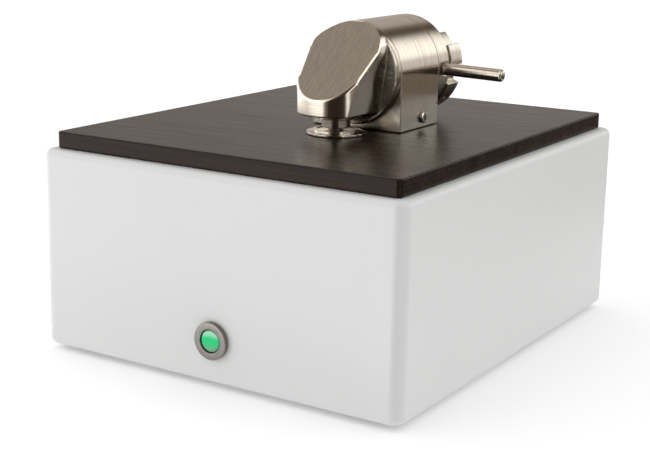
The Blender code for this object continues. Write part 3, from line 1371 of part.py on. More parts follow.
# Mirrors that carry the beam from the splitter up to the crystal and back to the detector
def make_transfer_optics():
    side = FOLD_SIDE / 2
    corner = [(side, -side), (side, side - WALL), (side - WALL, side), (-side, side), (-side, side - WALL),
              (side - WALL, -side)]
    fold = [(-x, -y) for x, y in corner]
    place(
        "fold_mirror", plate_mesh("fold_mirror", fold, FOLD_HEIGHT), "mirror_coat",
        at=(SPLITTER_X, ANVIL_Y, BENCH_SEAT),
    )
    rise = TRANSFER_HALF_WIDTH - TRANSFER_RIDGE
    roof = [
        (-TRANSFER_HALF_WIDTH, 0), (TRANSFER_HALF_WIDTH, 0), (TRANSFER_HALF_WIDTH, TRANSFER_FOOT),
        (TRANSFER_RIDGE, TRANSFER_FOOT + rise), (-TRANSFER_RIDGE, TRANSFER_FOOT + rise),
        (-TRANSFER_HALF_WIDTH, TRANSFER_FOOT),
    ]
    place(
        "transfer_mirrors", plate_mesh("transfer_mirrors", roof, TRANSFER_DEPTH), "mirror_coat",
        at=(PRESS_X, ANVIL_Y + TRANSFER_DEPTH / 2, BENCH_SEAT), turn=ALONG_MINUS_Y,
    )
    detector = place(
        "detector", box_mesh("detector", DETECTOR_LENGTH, DETECTOR_WIDTH, DETECTOR_HEIGHT),
        "cast_aluminium",
        at=(DETECTOR_X, ANVIL_Y, BENCH_SEAT + DETECTOR_HEIGHT / 2),
    )
    snout = place(
        "detector snout", bar_mesh("snout", DETECTOR_SNOUT_RADIUS, DETECTOR_SNOUT + OVERRUN, SMALL), None,
        at=(DETECTOR_X - DETECTOR_LENGTH / 2 - DETECTOR_SNOUT, ANVIL_Y, BEAM_Z), turn=ALONG_X,
    )
    join(detector, as_cutter(snout))
    cut(detector, bar_cutter(
        "detector window", DETECTOR_SNOUT_RADIUS / 2, DETECTOR_SNOUT,
        at=(DETECTOR_X - DETECTOR_LENGTH / 2 - DETECTOR_SNOUT - OVERRUN, ANVIL_Y, BEAM_Z), turn=ALONG_X,
    ))
    start = SOURCE_X - LASER_LENGTH / 2
    laser = place(
        "reference_laser", bar_mesh("reference_laser", LASER_RADIUS, LASER_LENGTH, SMALL),
        "black_plastic",
        at=(start, LASER_Y, BEAM_Z), turn=ALONG_X,
    )
    foot_height = BEAM_Z - BENCH_SEAT
    foot = place(
        "laser foot", box_mesh("laser foot", LASER_LENGTH / 2, LASER_FOOT_WIDTH, foot_height), None,
        at=(SOURCE_X, LASER_Y, BENCH_SEAT + foot_height / 2),
    )
    join(laser, as_cutter(foot))


def make_desiccant():
    step = DESICCANT_CAP_STEP
    bottom = BASE_TOP + SEAT_GAP
    top = bottom + DESICCANT_HEIGHT
    body = DESICCANT_RADIUS - step
    profile = [
        (0, top), (DESICCANT_RADIUS - step / 2, top), (DESICCANT_RADIUS, top - step / 2),
        (DESICCANT_RADIUS, top - DESICCANT_CAP), (body, top - DESICCANT_CAP), (body, bottom + step),
        (body - step, bottom), (0, bottom),
    ]
    turned("desiccant_cartridge", profile, "desiccant_plastic", at=(DESICCANT_X, DESICCANT_Y, 0))


# The board with its larger components; each is given by its place and size as shares of the board
CHIP_SHARES = (
    (-0.30, 0.00, 0.14, 0.32, 1.0),
    (-0.02, -0.10, 0.16, 0.36, 0.7),
    (0.26, 0.10, 0.10, 0.24, 2.4),
)


def make_board():
    z = BOARD_HEIGHT
    board = place(
        "main_board", box_mesh("main_board", BOARD_WIDTH, BOARD_DEPTH, BOARD_THICKNESS), "circuit_board",
        at=(BOARD_X, board_y(), z + BOARD_THICKNESS / 2),
    )
    for i, (x_share, y_share, width_share, depth_share, height_share) in enumerate(CHIP_SHARES):
        height = CHIP_HEIGHT * height_share + BOARD_THICKNESS / 2
        chip = place(
            "chip %d" % (i + 1),
            box_mesh("chip", BOARD_WIDTH * width_share, BOARD_DEPTH * depth_share, height), None,
            at=(
                BOARD_X + BOARD_WIDTH * x_share, board_y() + BOARD_DEPTH * y_share,
                z + BOARD_THICKNESS / 2 + height / 2,
            ),
        )
        join(board, as_cutter(chip))
    for i, (x, y) in enumerate(board_post_places()):
        cut(board, bar_cutter(
            "board hole %d" % (i + 1), BOARD_PIN_RADIUS + SEAT_GAP, BOARD_THICKNESS + 2 * OVERRUN,
            at=(x, y, z - OVERRUN),
        ))


# The sockets stand on the board and fill the cut-outs in the rear wall
def make_sockets():
    middle_y = REAR_Y - SEAT_GAP - SOCKET_LENGTH / 2
    socket = place(
        "data_socket", box_mesh("data_socket", SOCKET_WIDTH, SOCKET_LENGTH, SOCKET_HEIGHT),
        "polished_steel",
        at=(SOCKET_X, middle_y, socket_z()),
    )
    mouth_y = REAR_Y - SEAT_GAP - SOCKET_DEPTH / 2 + OVERRUN / 2
    cut(socket, box_cutter(
        "socket mouth", SOCKET_MOUTH_WIDTH, SOCKET_DEPTH + OVERRUN, SOCKET_MOUTH_HEIGHT,
        at=(SOCKET_X, mouth_y, socket_z()),
    ))
    tongue_length = SOCKET_DEPTH
    tongue = place(
        "socket tongue", box_mesh("tongue", SOCKET_TONGUE_WIDTH, tongue_length, SOCKET_TONGUE_HEIGHT),
        None,
        at=(SOCKET_X, REAR_Y - SEAT_GAP - OVERRUN - tongue_length / 2, socket_z()),
    )
    join(socket, as_cutter(tongue))
    inlet = place(
        "power_inlet", box_mesh("power_inlet", INLET_WIDTH, SOCKET_LENGTH, SOCKET_HEIGHT),
        "black_plastic",
        at=(INLET_X, middle_y, socket_z()),
    )
    ring = [
        (0, SOCKET_DEPTH + OVERRUN), (INLET_RADIUS, SOCKET_DEPTH + OVERRUN), (INLET_RADIUS, 0),
        (INLET_PIN_RADIUS, 0), (INLET_PIN_RADIUS, SOCKET_DEPTH - OVERRUN), (0, SOCKET_DEPTH - OVERRUN),
    ]
    mouth = turned(
        "inlet mouth", ring, None, steps=SMALL,
        at=(INLET_X, REAR_Y - SEAT_GAP - SOCKET_DEPTH, socket_z()),
        turn=ALONG_Y,
    )
    cut(inlet, as_cutter(mouth))


clear_scene()
PARTS = make_collection("infrared_spectrometer")
CUTTERS = make_collection("cutters")
make_housing()
make_base()
make_feet()
make_deck()
make_button()
FIXED_FRAME = add_empty("press_frame", (PRESS_X, BLOCK_FRONT_Y, AXIS_Z))
ARM_FRAME = add_empty("press_axis", (PRESS_X, BLOCK_FRONT_Y, AXIS_Z))
make_block(FIXED_FRAME)
make_bushes(FIXED_FRAME)
make_shaft(ARM_FRAME)
make_head(ARM_FRAME)
make_anvil(ARM_FRAME)
make_collar(ARM_FRAME)
make_hub(ARM_FRAME)
make_crystal_plate()
make_bench()
make_interferometer()
make_scanner()
make_source()
make_transfer_optics()
make_desiccant()
make_board()
make_sockets()
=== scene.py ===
import json
import math

import bmesh
import bpy
from mathutils import Matrix, Vector


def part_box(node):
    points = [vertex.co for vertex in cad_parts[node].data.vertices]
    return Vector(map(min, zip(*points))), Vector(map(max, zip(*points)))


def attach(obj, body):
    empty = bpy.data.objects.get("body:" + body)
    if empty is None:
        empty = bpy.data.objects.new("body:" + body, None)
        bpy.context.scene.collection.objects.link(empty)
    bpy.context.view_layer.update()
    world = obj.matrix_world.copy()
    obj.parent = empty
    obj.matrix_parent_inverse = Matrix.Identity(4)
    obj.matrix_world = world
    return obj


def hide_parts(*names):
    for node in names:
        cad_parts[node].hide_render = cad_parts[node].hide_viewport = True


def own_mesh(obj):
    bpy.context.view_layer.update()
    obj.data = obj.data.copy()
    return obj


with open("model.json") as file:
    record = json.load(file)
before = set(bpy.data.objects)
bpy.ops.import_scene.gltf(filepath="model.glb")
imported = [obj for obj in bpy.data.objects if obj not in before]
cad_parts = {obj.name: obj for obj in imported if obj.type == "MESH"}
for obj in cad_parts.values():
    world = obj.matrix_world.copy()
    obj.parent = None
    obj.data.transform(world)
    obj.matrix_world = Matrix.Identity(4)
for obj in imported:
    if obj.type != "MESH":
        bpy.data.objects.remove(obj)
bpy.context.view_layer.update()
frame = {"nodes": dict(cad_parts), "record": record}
print("frame loaded:", len(frame["nodes"]), "nodes")

# sizes are in metres; gap parts pieces that fit together, past takes a cutter through a face
fit = {"gap": 0.0003, "past": 0.002, "least": 0.0005, "through": 0.02, "bendShare": 0.45,
       "same": 1e-7}
alongY = Matrix.Rotation(-math.pi / 2, 4, "X")
alongMinusY = Matrix.Rotation(math.pi / 2, 4, "X")


def moved(*place):
    return Matrix.Translation(place)


def sideways(side):
    # turns Z to X, or to minus X where side is -1
    return Matrix.Rotation(side * math.pi / 2, 4, "Y")


def middleOf(node):
    low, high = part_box(node)
    return (low + high) / 2


def pick(values, names):
    return [values[name] for name in names.split()]


def quarterRound(wide, high, steps):
    # a quarter of an ellipse, level at (0, 0) and upright at (wide, high)
    angles = (math.pi / 2 * i / steps for i in range(steps + 1))
    return [(wide * math.sin(angle), high * (1 - math.cos(angle))) for angle in angles]


def meshPiece(name, data, matrix=None):
    if matrix is not None:
        data.transform(matrix)
    piece = bpy.data.objects.new(name, data)
    bpy.context.scene.collection.objects.link(piece)
    return piece


def meshFrom(shape, name):
    bmesh.ops.remove_doubles(shape, verts=shape.verts, dist=fit["same"])
    bmesh.ops.recalc_face_normals(shape, faces=shape.faces)
    data = bpy.data.meshes.new(name)
    shape.to_mesh(data)
    shape.free()
    data.shade_smooth()
    data.set_sharp_from_angle(angle=math.radians(38))
    return data


def settle(piece):
    # takes what the modifiers make as the piece's own mesh
    bpy.context.view_layer.update()
    data = bpy.data.meshes.new_from_object(piece.evaluated_get(bpy.context.evaluated_depsgraph_get()))
    data.name = piece.name
    piece.modifiers.clear()
    piece.data = data
    return piece


def bake(piece, cutters=()):
    # flat faces stay flat, because each counts by its area
    weigh = piece.modifiers.new("faceWeights", "WEIGHTED_NORMAL")
    weigh.keep_sharp = True
    weigh.weight = 80
    settle(piece)
    for cutter in cutters:
        bpy.data.objects.remove(cutter)
    return piece


def turnedMesh(name, profile, steps, closed=False):
    # profile of (radius, height) pairs turned about Z
    shape = bmesh.new()
    turns = arcPoints(1, 0, 2 * math.pi, steps)[:-1]
    rings = []
    for radius, height in profile:
        if radius < fit["same"]:
            rings.append([shape.verts.new((0, 0, height))] * steps)
        else:
            rings.append([shape.verts.new((radius * x, radius * y, height)) for x, y in turns])
    pairs = list(zip(rings, rings[1:])) + ([(rings[-1], rings[0])] if closed else [])
    for low, high in pairs:
        for i in range(steps):
            j = (i + 1) % steps
            corners = []
            for vert in (low[i], low[j], high[j], high[i]):
                if vert not in corners:
                    corners.append(vert)
            if len(corners) > 2:
                shape.faces.new(corners)
    return meshFrom(shape, name)


def softCorner(points, radius, steps=4):
    # rounds the inner corners of an open profile
    rounded = [points[0]]
    for before, corner, after in zip(points, points[1:], points[2:]):
        corner = Vector(corner)
        back, ahead = Vector(before) - corner, Vector(after) - corner
        reach = min(radius, back.length * fit["bendShare"], ahead.length * fit["bendShare"])
        start, end = corner + back.normalized() * reach, corner + ahead.normalized() * reach
        for i in range(steps + 1):
            share, restShare = i / steps, 1 - i / steps
            bend = start * restShare ** 2 + corner * 2 * share * restShare + end * share * share
            rounded.append(tuple(bend))
    return rounded + [points[-1]]


def arcPoints(radius, start, end, steps, cx=0, cy=0):
    angles = (start + (end - start) * i / steps for i in range(steps + 1))
    return [(cx + radius * math.cos(angle), cy + radius * math.sin(angle)) for angle in angles]


def roundRectangle(width, depth, radius, steps=12):
    x, y, quarter = width / 2 - radius, depth / 2 - radius, math.pi / 2
    points = []
    for i, (cx, cy) in enumerate(((x, y), (-x, y), (-x, -y), (x, -y))):
        points += arcPoints(radius, i * quarter, (i + 1) * quarter, steps, cx, cy)
    return points


def rectangle(left, low, right, high):
    return [(left, low), (right, low), (right, high), (left, high)]


def stackMesh(name, rings):
    # rings of the same count joined from the lowest to the highest, closed by flat ends
    shape = bmesh.new()
    loops = [[shape.verts.new(point) for point in ring] for ring in rings]
    for low, high in zip(loops, loops[1:]):
        for i in range(len(low)):
            j = (i + 1) % len(low)
            shape.faces.new((low[i], low[j], high[j], high[i]))
    shape.faces.new(list(reversed(loops[0])))
    shape.faces.new(loops[-1])
    return meshFrom(shape, name)


def roundedSlab(name, size, corner, bottom, top, lowEdge, topEdge, steps=6):
    levels = [(bottom + rise, lowEdge - out) for out, rise in quarterRound(lowEdge, lowEdge, steps)]
    levels += [(top - topEdge + out, rise) for out, rise in quarterRound(topEdge, topEdge, steps)]
    rings = []
    for height, inset in levels:
        outline = roundRectangle(size[0] - 2 * inset, size[1] - 2 * inset, max(corner - inset, fit["least"]))
        rings.append([(x, y, height) for x, y in outline])
    return stackMesh(name, rings)


def prismMesh(name, outline, low, high):
    return stackMesh(name, [[(x, y, z) for x, y in outline] for z in (low, high)])


def cutterFor(piece, data, matrix=None):
    cutter = meshPiece("cutter", data, matrix)
    step = piece.modifiers.new("cut", "BOOLEAN")
    step.operation = "DIFFERENCE"
    step.solver = "EXACT"
    step.object = cutter
    cutter.hide_render = True
    return cutter


def drill(piece, radius, depth, matrix, steps=32):
    # a round hole from the matrix's place along its Z
    hole = turnedMesh("hole", [(0, depth), (radius, depth), (radius, 0), (0, 0)], steps)
    return cutterFor(piece, hole, matrix)


def softenEdges(piece, width, segments):
    soften = piece.modifiers.new("edges", "BEVEL")
    soften.width, soften.segments, soften.limit_method = width, segments, "ANGLE"
    soften.angle_limit = math.radians(50)


def dress(piece, finish, body, slotName, *nodes):
    # finish is a name, or None where the mesh has its materials
    if finish:
        piece.data.materials.append(finishes[finish])
    if nodes:
        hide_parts(*nodes)
    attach(piece, body)


def newMaterial(name, colour, roughness, metallic=0.0, **sockets):
    made = bpy.data.materials.new(name)
    made.use_nodes = True
    shader = made.node_tree.nodes["Principled BSDF"]
    shader.inputs["Base Color"].default_value = (*colour, 1)
    shader.inputs["Roughness"].default_value = roughness
    shader.inputs["Metallic"].default_value = metallic
    for socket, value in sockets.items():
        shader.inputs[socket.replace("_", " ")].default_value = value
    made.diffuse_color = (*colour, 1)
    return made


def addNode(material, kind, settings=(), **links):
    # settings are node attributes; links are socket values or the sockets that feed them
    tree = material.node_tree
    made = tree.nodes.new(kind)
    for key, value in dict(settings).items():
        setattr(made, key, value)
    for key, value in links.items():
        numbered = key[0] == "n" and key[1:].isdigit()
        socket = made.inputs[int(key[1:]) if numbered else key.replace("_", " ")]
        if isinstance(value, bpy.types.NodeSocket):
            tree.links.new(value, socket)
        else:
            socket.default_value = value
    return made


def grainNoise(material, scale, detail=3.0, roughness=0.6):
    # noise on Object coordinates, stretched by a different scale along each axis
    where = addNode(material, "ShaderNodeTexCoord")
    mapped = addNode(material, "ShaderNodeMapping", Vector=where.outputs["Object"], Scale=scale)
    noise = addNode(material, "ShaderNodeTexNoise", Vector=mapped.outputs[0], Scale=1.0, Detail=detail)
    noise.inputs["Roughness"].default_value = roughness
    return noise.outputs[0]


def ramp(material, factor, stops):
    made = addNode(material, "ShaderNodeValToRGB", Fac=factor)
    band = made.color_ramp
    while len(band.elements) < len(stops):
        band.elements.new(0.5)
    for element, (position, colour) in zip(band.elements, stops):
        element.position = position
        element.color = (*colour, 1)
    return made.outputs[0]


def between(material, factor, low, high, fromLow=0.3, fromHigh=0.7):
    made = addNode(material, "ShaderNodeMapRange", Value=factor)
    for socket, value in (("From Min", fromLow), ("From Max", fromHigh), ("To Min", low), ("To Max", high)):
        made.inputs[socket].default_value = value
    return made.outputs[0]


def feed(material, socket, source):
    material.node_tree.links.new(source, material.node_tree.nodes["Principled BSDF"].inputs[socket])


def bump(material, height, strength, distance):
    made = addNode(material, "ShaderNodeBump", Height=height, Strength=strength, Distance=distance)
    feed(material, "Normal", made.outputs[0])


def scaled(colour, factor):
    return tuple(min(part * factor, 1) for part in colour)


paint = {"colour": (0.74, 0.74, 0.735), "roughness": 0.42, "cloudScale": 9, "cloudTone": 0.985,
         "peelScale": 650, "peelStrength": 0.05, "peelDepth": 0.0001, "spread": 0.03}


def makeWhitePaint():
    made = newMaterial("whitePaint", paint["colour"], paint["roughness"])
    cloud = grainNoise(made, (paint["cloudScale"],) * 3, 2)
    dull = scaled(paint["colour"], paint["cloudTone"])
    feed(made, "Base Color", ramp(made, cloud, [(0.3, dull), (0.7, paint["colour"])]))
    peel = grainNoise(made, (paint["peelScale"],) * 3, 1)
    rough, spread = paint["roughness"], paint["spread"]
    feed(made, "Roughness", between(made, peel, rough - spread, rough + spread))
    bump(made, peel, paint["peelStrength"], paint["peelDepth"])
    return made


wood = {"dark": (0.011, 0.0058, 0.0040), "mid": (0.019, 0.0108, 0.0077), "light": (0.034, 0.0205, 0.0150),
        "stops": (0.36, 0.50, 0.64), "roughness": 0.28, "broad": (5, 120, 120), "fine": (22, 900, 900)}


def makeWood(name, gloss):
    made = newMaterial(name, wood["mid"], wood["roughness"], Specular_IOR_Level=gloss)
    broad = grainNoise(made, wood["broad"], 4)
    fine = grainNoise(made, wood["fine"], 3)
    mixed = addNode(made, "ShaderNodeMath", {"operation": "ADD"}, n0=broad, n1=fine)
    half = addNode(made, "ShaderNodeMath", {"operation": "MULTIPLY"}, n0=mixed.outputs[0], n1=0.5)
    tones = [wood[tone] for tone in ("dark", "mid", "light")]
    feed(made, "Base Color", ramp(made, half.outputs[0], list(zip(wood["stops"], tones))))
    feed(made, "Roughness", between(made, fine, wood["roughness"] - 0.04, wood["roughness"] + 0.06))
    bump(made, fine, 0.10, 0.0001)
    return made


steel = {"colour": (0.62, 0.56, 0.475)}


def makeBrushed(name, scale, tone, roughness, strength, axis, spread, contrast=0.12):
    # strokes run round the axis, so reflections spread across them
    made = newMaterial(name, scaled(steel["colour"], tone), roughness, 1.0)
    lines = grainNoise(made, scale, 4, 0.7)
    dark, light = (scaled(steel["colour"], tone * (1 + change)) for change in (-contrast, contrast))
    feed(made, "Base Color", ramp(made, lines, [(0.32, dark), (0.68, light)]))
    feed(made, "Roughness", between(made, lines, roughness + 0.03, roughness - 0.03))
    bump(made, lines, strength, 0.00005)
    around = addNode(made, "ShaderNodeTangent", {"direction_type": "RADIAL", "axis": axis})
    feed(made, "Tangent", around.outputs[0])
    shader = made.node_tree.nodes["Principled BSDF"]
    shader.inputs["Anisotropic"].default_value = spread
    shader.inputs["Anisotropic Rotation"].default_value = 0.25
    return made


def makePolished(name, colour, roughness, strength=0.02, spots=0.225):
    made = newMaterial(name, colour, roughness, 1.0)
    smear = grainNoise(made, (160, 160, 160), 3)
    feed(made, "Roughness", between(made, smear, roughness * (1 - spots), roughness * (1 + spots)))
    bump(made, smear, strength, 0.00004)
    return made


def makePlastic(name, colour, roughness, grain=900, strength=0.08):
    made = newMaterial(name, colour, roughness)
    texture = grainNoise(made, (grain,) * 3, 2)
    feed(made, "Base Color", ramp(made, texture, [(0.3, scaled(colour, 0.85)), (0.7, scaled(colour, 1.1))]))
    feed(made, "Roughness", between(made, texture, roughness - 0.05, min(roughness + 0.08, 1)))
    bump(made, texture, strength, 0.0001)
    return made


def makeCastMetal(name, colour, roughness, grain):
    made = makePlastic(name, colour, roughness, grain, 0.12)
    made.node_tree.nodes["Principled BSDF"].inputs["Metallic"].default_value = 1.0
    return made


# lens colours: a painted reflection pale at the top, a painted shade dull at the bottom, and a painted shade
# darker round the rim
lensLook = {"pale": (0.30, 0.60, 0.40), "bright": (0.008, 0.50, 0.16), "low": (0.16, 0.30, 0.20),
            "rim": (0.004, 0.17, 0.07), "glow": 0.30, "stops": (0.08, 0.45, 0.62, 0.78),
            "spotShares": (0.15, 0.80), "edgeShares": (0.86, 1.02)}


def makeLens(centre, radius):
    # painted reflection pale above, painted shade dull below, a strong green spot in the middle and painted
    # shade darker at the rim
    made = newMaterial("greenLens", lensLook["bright"], 0.24, Specular_IOR_Level=0.3)
    where = addNode(made, "ShaderNodeTexCoord").outputs["Object"]
    apart = addNode(made, "ShaderNodeVectorMath", {"operation": "DISTANCE"}, n0=where, n1=centre)
    axes = addNode(made, "ShaderNodeSeparateXYZ", n0=where)
    rise = between(made, axes.outputs["Z"], 0, 1, centre[2] - radius, centre[2] + radius)
    tones = [lensLook[tone] for tone in ("low", "bright", "bright", "pale")]
    colour = ramp(made, rise, list(zip(lensLook["stops"], tones)))
    # the spot covers the shading's middle, and the painted rim shade covers its edge
    for shares, slots, tone in (("spotShares", ("n6", "n7"), "bright"), ("edgeShares", ("n7", "n6"), "rim")):
        factor = between(made, apart.outputs["Value"], 0, 1, *(radius * share for share in lensLook[shares]))
        colours = dict(zip(slots, ((*lensLook[tone], 1), colour)))
        colour = addNode(made, "ShaderNodeMix", {"data_type": "RGBA"}, n0=factor, **colours).outputs[2]
    feed(made, "Base Color", colour)
    # the glow lights up the whole painted colour, painted shade and painted reflection included
    feed(made, "Emission Color", colour)
    made.node_tree.nodes["Principled BSDF"].inputs["Emission Strength"].default_value = lensLook["glow"]
    bump(made, grainNoise(made, (500, 500, 500), 2), 0.05, 0.0001)
    return made


def makeBoardGreen():
    made = newMaterial("boardGreen", (0.03, 0.20, 0.09), 0.45)
    where = addNode(made, "ShaderNodeTexCoord")
    mapped = addNode(made, "ShaderNodeMapping", Vector=where.outputs["Object"], Scale=(260, 260, 40))
    tracks = addNode(made, "ShaderNodeTexBrick", Vector=mapped.outputs[0], Scale=1.0,
                     Color1=(0.02, 0.17, 0.07, 1), Color2=(0.03, 0.22, 0.10, 1),
                     Mortar=(0.06, 0.33, 0.14, 1), Mortar_Size=0.05)
    feed(made, "Base Color", tracks.outputs["Color"])
    bump(made, tracks.outputs["Fac"], 0.15, 0.0001)
    return made


def makeCrystal():
    made = newMaterial("clearCrystal", (0.86, 0.90, 0.93), 0.03, Transmission_Weight=0.75, IOR=2.2)
    bump(made, grainNoise(made, (300, 300, 300), 2), 0.01, 0.00002)
    return made


finishes = {
    "whitePaint": makeWhitePaint(),
    "darkWood": makeWood("darkWood", 0.22),
    "woodEdge": makeWood("woodEdge", 0.12),
    "steelRound": makeBrushed("steelRound", (14, 1500, 14), 1.0, 0.22, 0.05, "Y", 0.85),
    "steelUpright": makeBrushed("steelUpright", (14, 14, 1600), 1.0, 0.21, 0.03, "Z", 0.9),
    "steelFace": makeBrushed("steelFace", (2600, 110, 110), 0.84, 0.36, 0.22, "X", 0.6, 0.26),
    # a darker copy of the steel for the flange's front face: painted shade of the dark parts it mirrors
    "steelFlatShaded": makePolished("steelFlatShaded", scaled(steel["colour"], 0.55), 0.27, 0.003, 0.05),
    "steelTurned": makeBrushed("steelTurned", (14, 14, 1500), 0.95, 0.20, 0.04, "Z", 0.7),
    "steelPin": makeBrushed("steelPin", (1500, 14, 14), 1.05, 0.20, 0.04, "X", 0.7),
    # a smoother, lighter copy of the steel for the head's rounded rims: the lighter colour is a painted
    # highlight
    "steelEdgeHighlight": makePolished("steelEdgeHighlight", scaled(steel["colour"], 1.3), 0.17),
    "polished": makePolished("polished", (0.74, 0.71, 0.66), 0.11),
    "buttonSteel": makeCastMetal("buttonSteel", (0.245, 0.225, 0.21), 0.33, 500),
    "rubber": makePlastic("rubber", (0.022, 0.022, 0.022), 0.75, 1400, 0.2),
    "blackPlastic": makePlastic("blackPlastic", (0.025, 0.025, 0.027), 0.42),
    "zincSheet": makeCastMetal("zincSheet", (0.55, 0.56, 0.57), 0.36, 60),
    "castAluminium": makeCastMetal("castAluminium", (0.62, 0.62, 0.63), 0.48, 700),
    "bronze": makeCastMetal("bronze", (0.55, 0.38, 0.18), 0.38, 900),
    "springWire": makePolished("springWire", (0.45, 0.45, 0.46), 0.28),
    "clearCrystal": makeCrystal(),
    "mirrorCoat": makePolished("mirrorCoat", (0.90, 0.88, 0.80), 0.03),
    "ceramic": makePlastic("ceramic", (0.80, 0.76, 0.68), 0.7, 1200, 0.15),
    "boardGreen": makeBoardGreen(),
    "copper": makePolished("copper", (0.72, 0.34, 0.18), 0.3),
    "palePlastic": makePlastic("palePlastic", (0.72, 0.74, 0.78), 0.3),
}
nodeFinish = {
    "white_paint": "whitePaint", "wood_laminate": "darkWood", "brushed_steel": "steelRound",
    "polished_steel": "polished", "button_steel": "buttonSteel", "green_lens": "palePlastic",
    "black_plastic": "blackPlastic", "rubber": "rubber", "sheet_metal": "zincSheet",
    "cast_aluminium": "castAluminium", "bronze": "bronze", "spring_steel": "springWire",
    "crystal": "clearCrystal", "mirror_coat": "mirrorCoat", "ceramic": "ceramic",
    "circuit_board": "boardGreen", "copper": "copper", "desiccant_plastic": "palePlastic",
}
slotOf = {entry["node"]: entry["material_slot"] for entry in frame["record"]["subparts"]}
for nodeName, nodeObject in frame["nodes"].items():
    finish = finishes[nodeFinish[slotOf[nodeName]]]
    if not nodeObject.material_slots:
        nodeObject.data.materials.append(finish)
    for slot in nodeObject.material_slots:
        slot.material = finish
print("finishes made:", len(finishes))

body = {"width": 0.254, "depth": 0.291, "bottom": 0.003, "top": 0.1269, "corner": 0.0076, "edge": 0.0043,
        "wall": 0.003, "skirt": 0.006, "pocket": 0.0025, "ledge": 0.003, "ledgeWidth": 0.010,
        "leastCorner": 0.0016, "window": (0.110, 0.090, 0.005), "windowDepth": 0.006, "socketGap": 0.0004,
        "socketCut": (-0.147, -0.140)}
button = {"x": 0.0033, "z": 0.0296, "front": -0.1455, "hole": 0.0098, "holeDepth": 0.01}
deck = {"inset": 0.0071, "bottom": 0.1272, "top": 0.1373, "corner": 0.003, "edge": 0.001, "lowEdge": 0.0008,
        "beamHole": 0.006, "screwHole": 0.0028, "sink": 0.0045, "sinkDepth": 0.0076, "topFrom": 0.6}
pressX, anvilY, anvilReach = 0.0195, -0.0415, -0.0235
pressScrews = ("press_screw_1", "press_screw_2", "press_screw_3", "press_screw_4")


def makeHousing():
    low, high, past = body["bottom"], body["top"], fit["past"]
    piece = meshPiece("housingCover", roundedSlab(
        "housingCover", (body["width"], body["depth"]), body["corner"], low, high, body["edge"], body["edge"],
    ))
    ledgeTop = low + body["pocket"] + body["ledge"]

    def hollow(inset, start, end):
        corner = max(body["corner"] - inset, body["leastCorner"])
        outline = roundRectangle(body["width"] - 2 * inset, body["depth"] - 2 * inset, corner)
        return cutterFor(piece, prismMesh("hollow", outline, start, end))

    window = prismMesh("window", roundRectangle(*body["window"]), high - body["windowDepth"], high + past)
    cutters = [
        hollow(body["wall"], ledgeTop, high - body["wall"]),
        hollow(body["skirt"] + body["ledgeWidth"], low - past, ledgeTop + past),
        hollow(body["skirt"], low - past, low + body["pocket"]),
        cutterFor(piece, window, moved(pressX, anvilY, 0)),
        drill(piece, button["hole"], button["holeDepth"],
              moved(button["x"], button["front"] - past, button["z"]) @ alongY, 64),
    ]
    wide = body["socketGap"]
    for node in ("data_socket", "power_inlet"):
        first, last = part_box(node)
        outline = rectangle(first.x - wide, first.z - wide, last.x + wide, last.z + wide)
        cutters.append(cutterFor(piece, prismMesh("socketHole", outline, *body["socketCut"]), alongMinusY))
    dress(bake(piece, cutters), "whitePaint", "case", "white_paint", "housing")


def makeDeck():
    size = (body["width"] - 2 * deck["inset"], body["depth"] - 2 * deck["inset"])
    piece = meshPiece("deckPlate", roundedSlab(
        "deckPlate", size, deck["corner"], deck["bottom"], deck["top"], deck["lowEdge"], deck["edge"],
    ))
    start = deck["bottom"] - 2 * fit["past"]
    cutters = [drill(piece, deck["beamHole"], fit["through"], moved(pressX, anvilY, start), 48)]
    hole, sink, depth = deck["screwHole"], deck["sink"], deck["sinkDepth"]
    profile = [(0, fit["through"]), (hole, fit["through"]), (hole, depth), (sink, depth), (sink, 0), (0, 0)]
    for node in pressScrews:
        middle = middleOf(node)
        cutters.append(cutterFor(piece, turnedMesh("screwHole", profile, 32),
                                 moved(middle.x, middle.y, deck["bottom"] - fit["past"])))
    for finish in ("darkWood", "woodEdge"):
        piece.data.materials.append(finishes[finish])
    bake(piece, cutters)
    for face in piece.data.polygons:
        face.material_index = 0 if face.normal.z > deck["topFrom"] else 1
    dress(piece, None, "case", "wood_laminate", "deck_plate")


makeHousing()
makeDeck()
print("housing and deck made")

bezel = {"radius": 0.0113, "proud": 0.0026, "bevel": 0.0004, "barrel": 0.0095, "length": 0.018,
         "bore": 0.0076, "lip": 0.0015, "soft": 0.00015}
lens = {"radius": 0.0067, "dome": 0.0007, "domeShare": 0.96, "sunk": 0.0002, "edge": 0.0004,
        "length": 0.012, "collar": 0.0072, "collarSpan": (-0.0018, -0.0033)}


def makeButton():
    at = moved(button["x"], button["front"], button["z"]) @ alongMinusY
    gap = fit["gap"]
    radius, bevel, barrel, bore, lip, long = pick(bezel, "radius bevel barrel bore lip length")
    proud, throat = gap + bezel["proud"], lens["radius"] + gap
    ring = softCorner([
        (barrel, gap), (radius, gap), (radius, proud - bevel), (radius - bevel, proud), (throat + gap, proud),
        (throat, proud - gap), (throat, -lip),
    ], bezel["soft"], 3) + [(bore, -lip), (bore, -long), (barrel, -long)]
    piece = meshPiece("buttonRing", turnedMesh("buttonRing", ring, 96, True), at)
    dress(piece, "buttonSteel", "case", "button_steel", "button_bezel")
    wide, rise, collar = pick(lens, "radius dome collar")
    top, crown = proud - lens["sunk"], wide * lens["domeShare"]
    edge, end, (high, low) = top - rise - lens["edge"], top - lens["length"], lens["collarSpan"]
    dome = [(x, top - y) for x, y in quarterRound(crown, rise, 12)]
    dome += [(wide, edge), (wide, high), (collar, high), (collar, low), (wide, low), (wide, end), (0, end)]
    piece = meshPiece("buttonLens", turnedMesh("buttonLens", dome, 96), at)
    piece.data.materials.append(makeLens((button["x"], button["front"] - top, button["z"]), wide))
    dress(piece, None, "button", "green_lens", "button_lens")


makeButton()
print("button made")

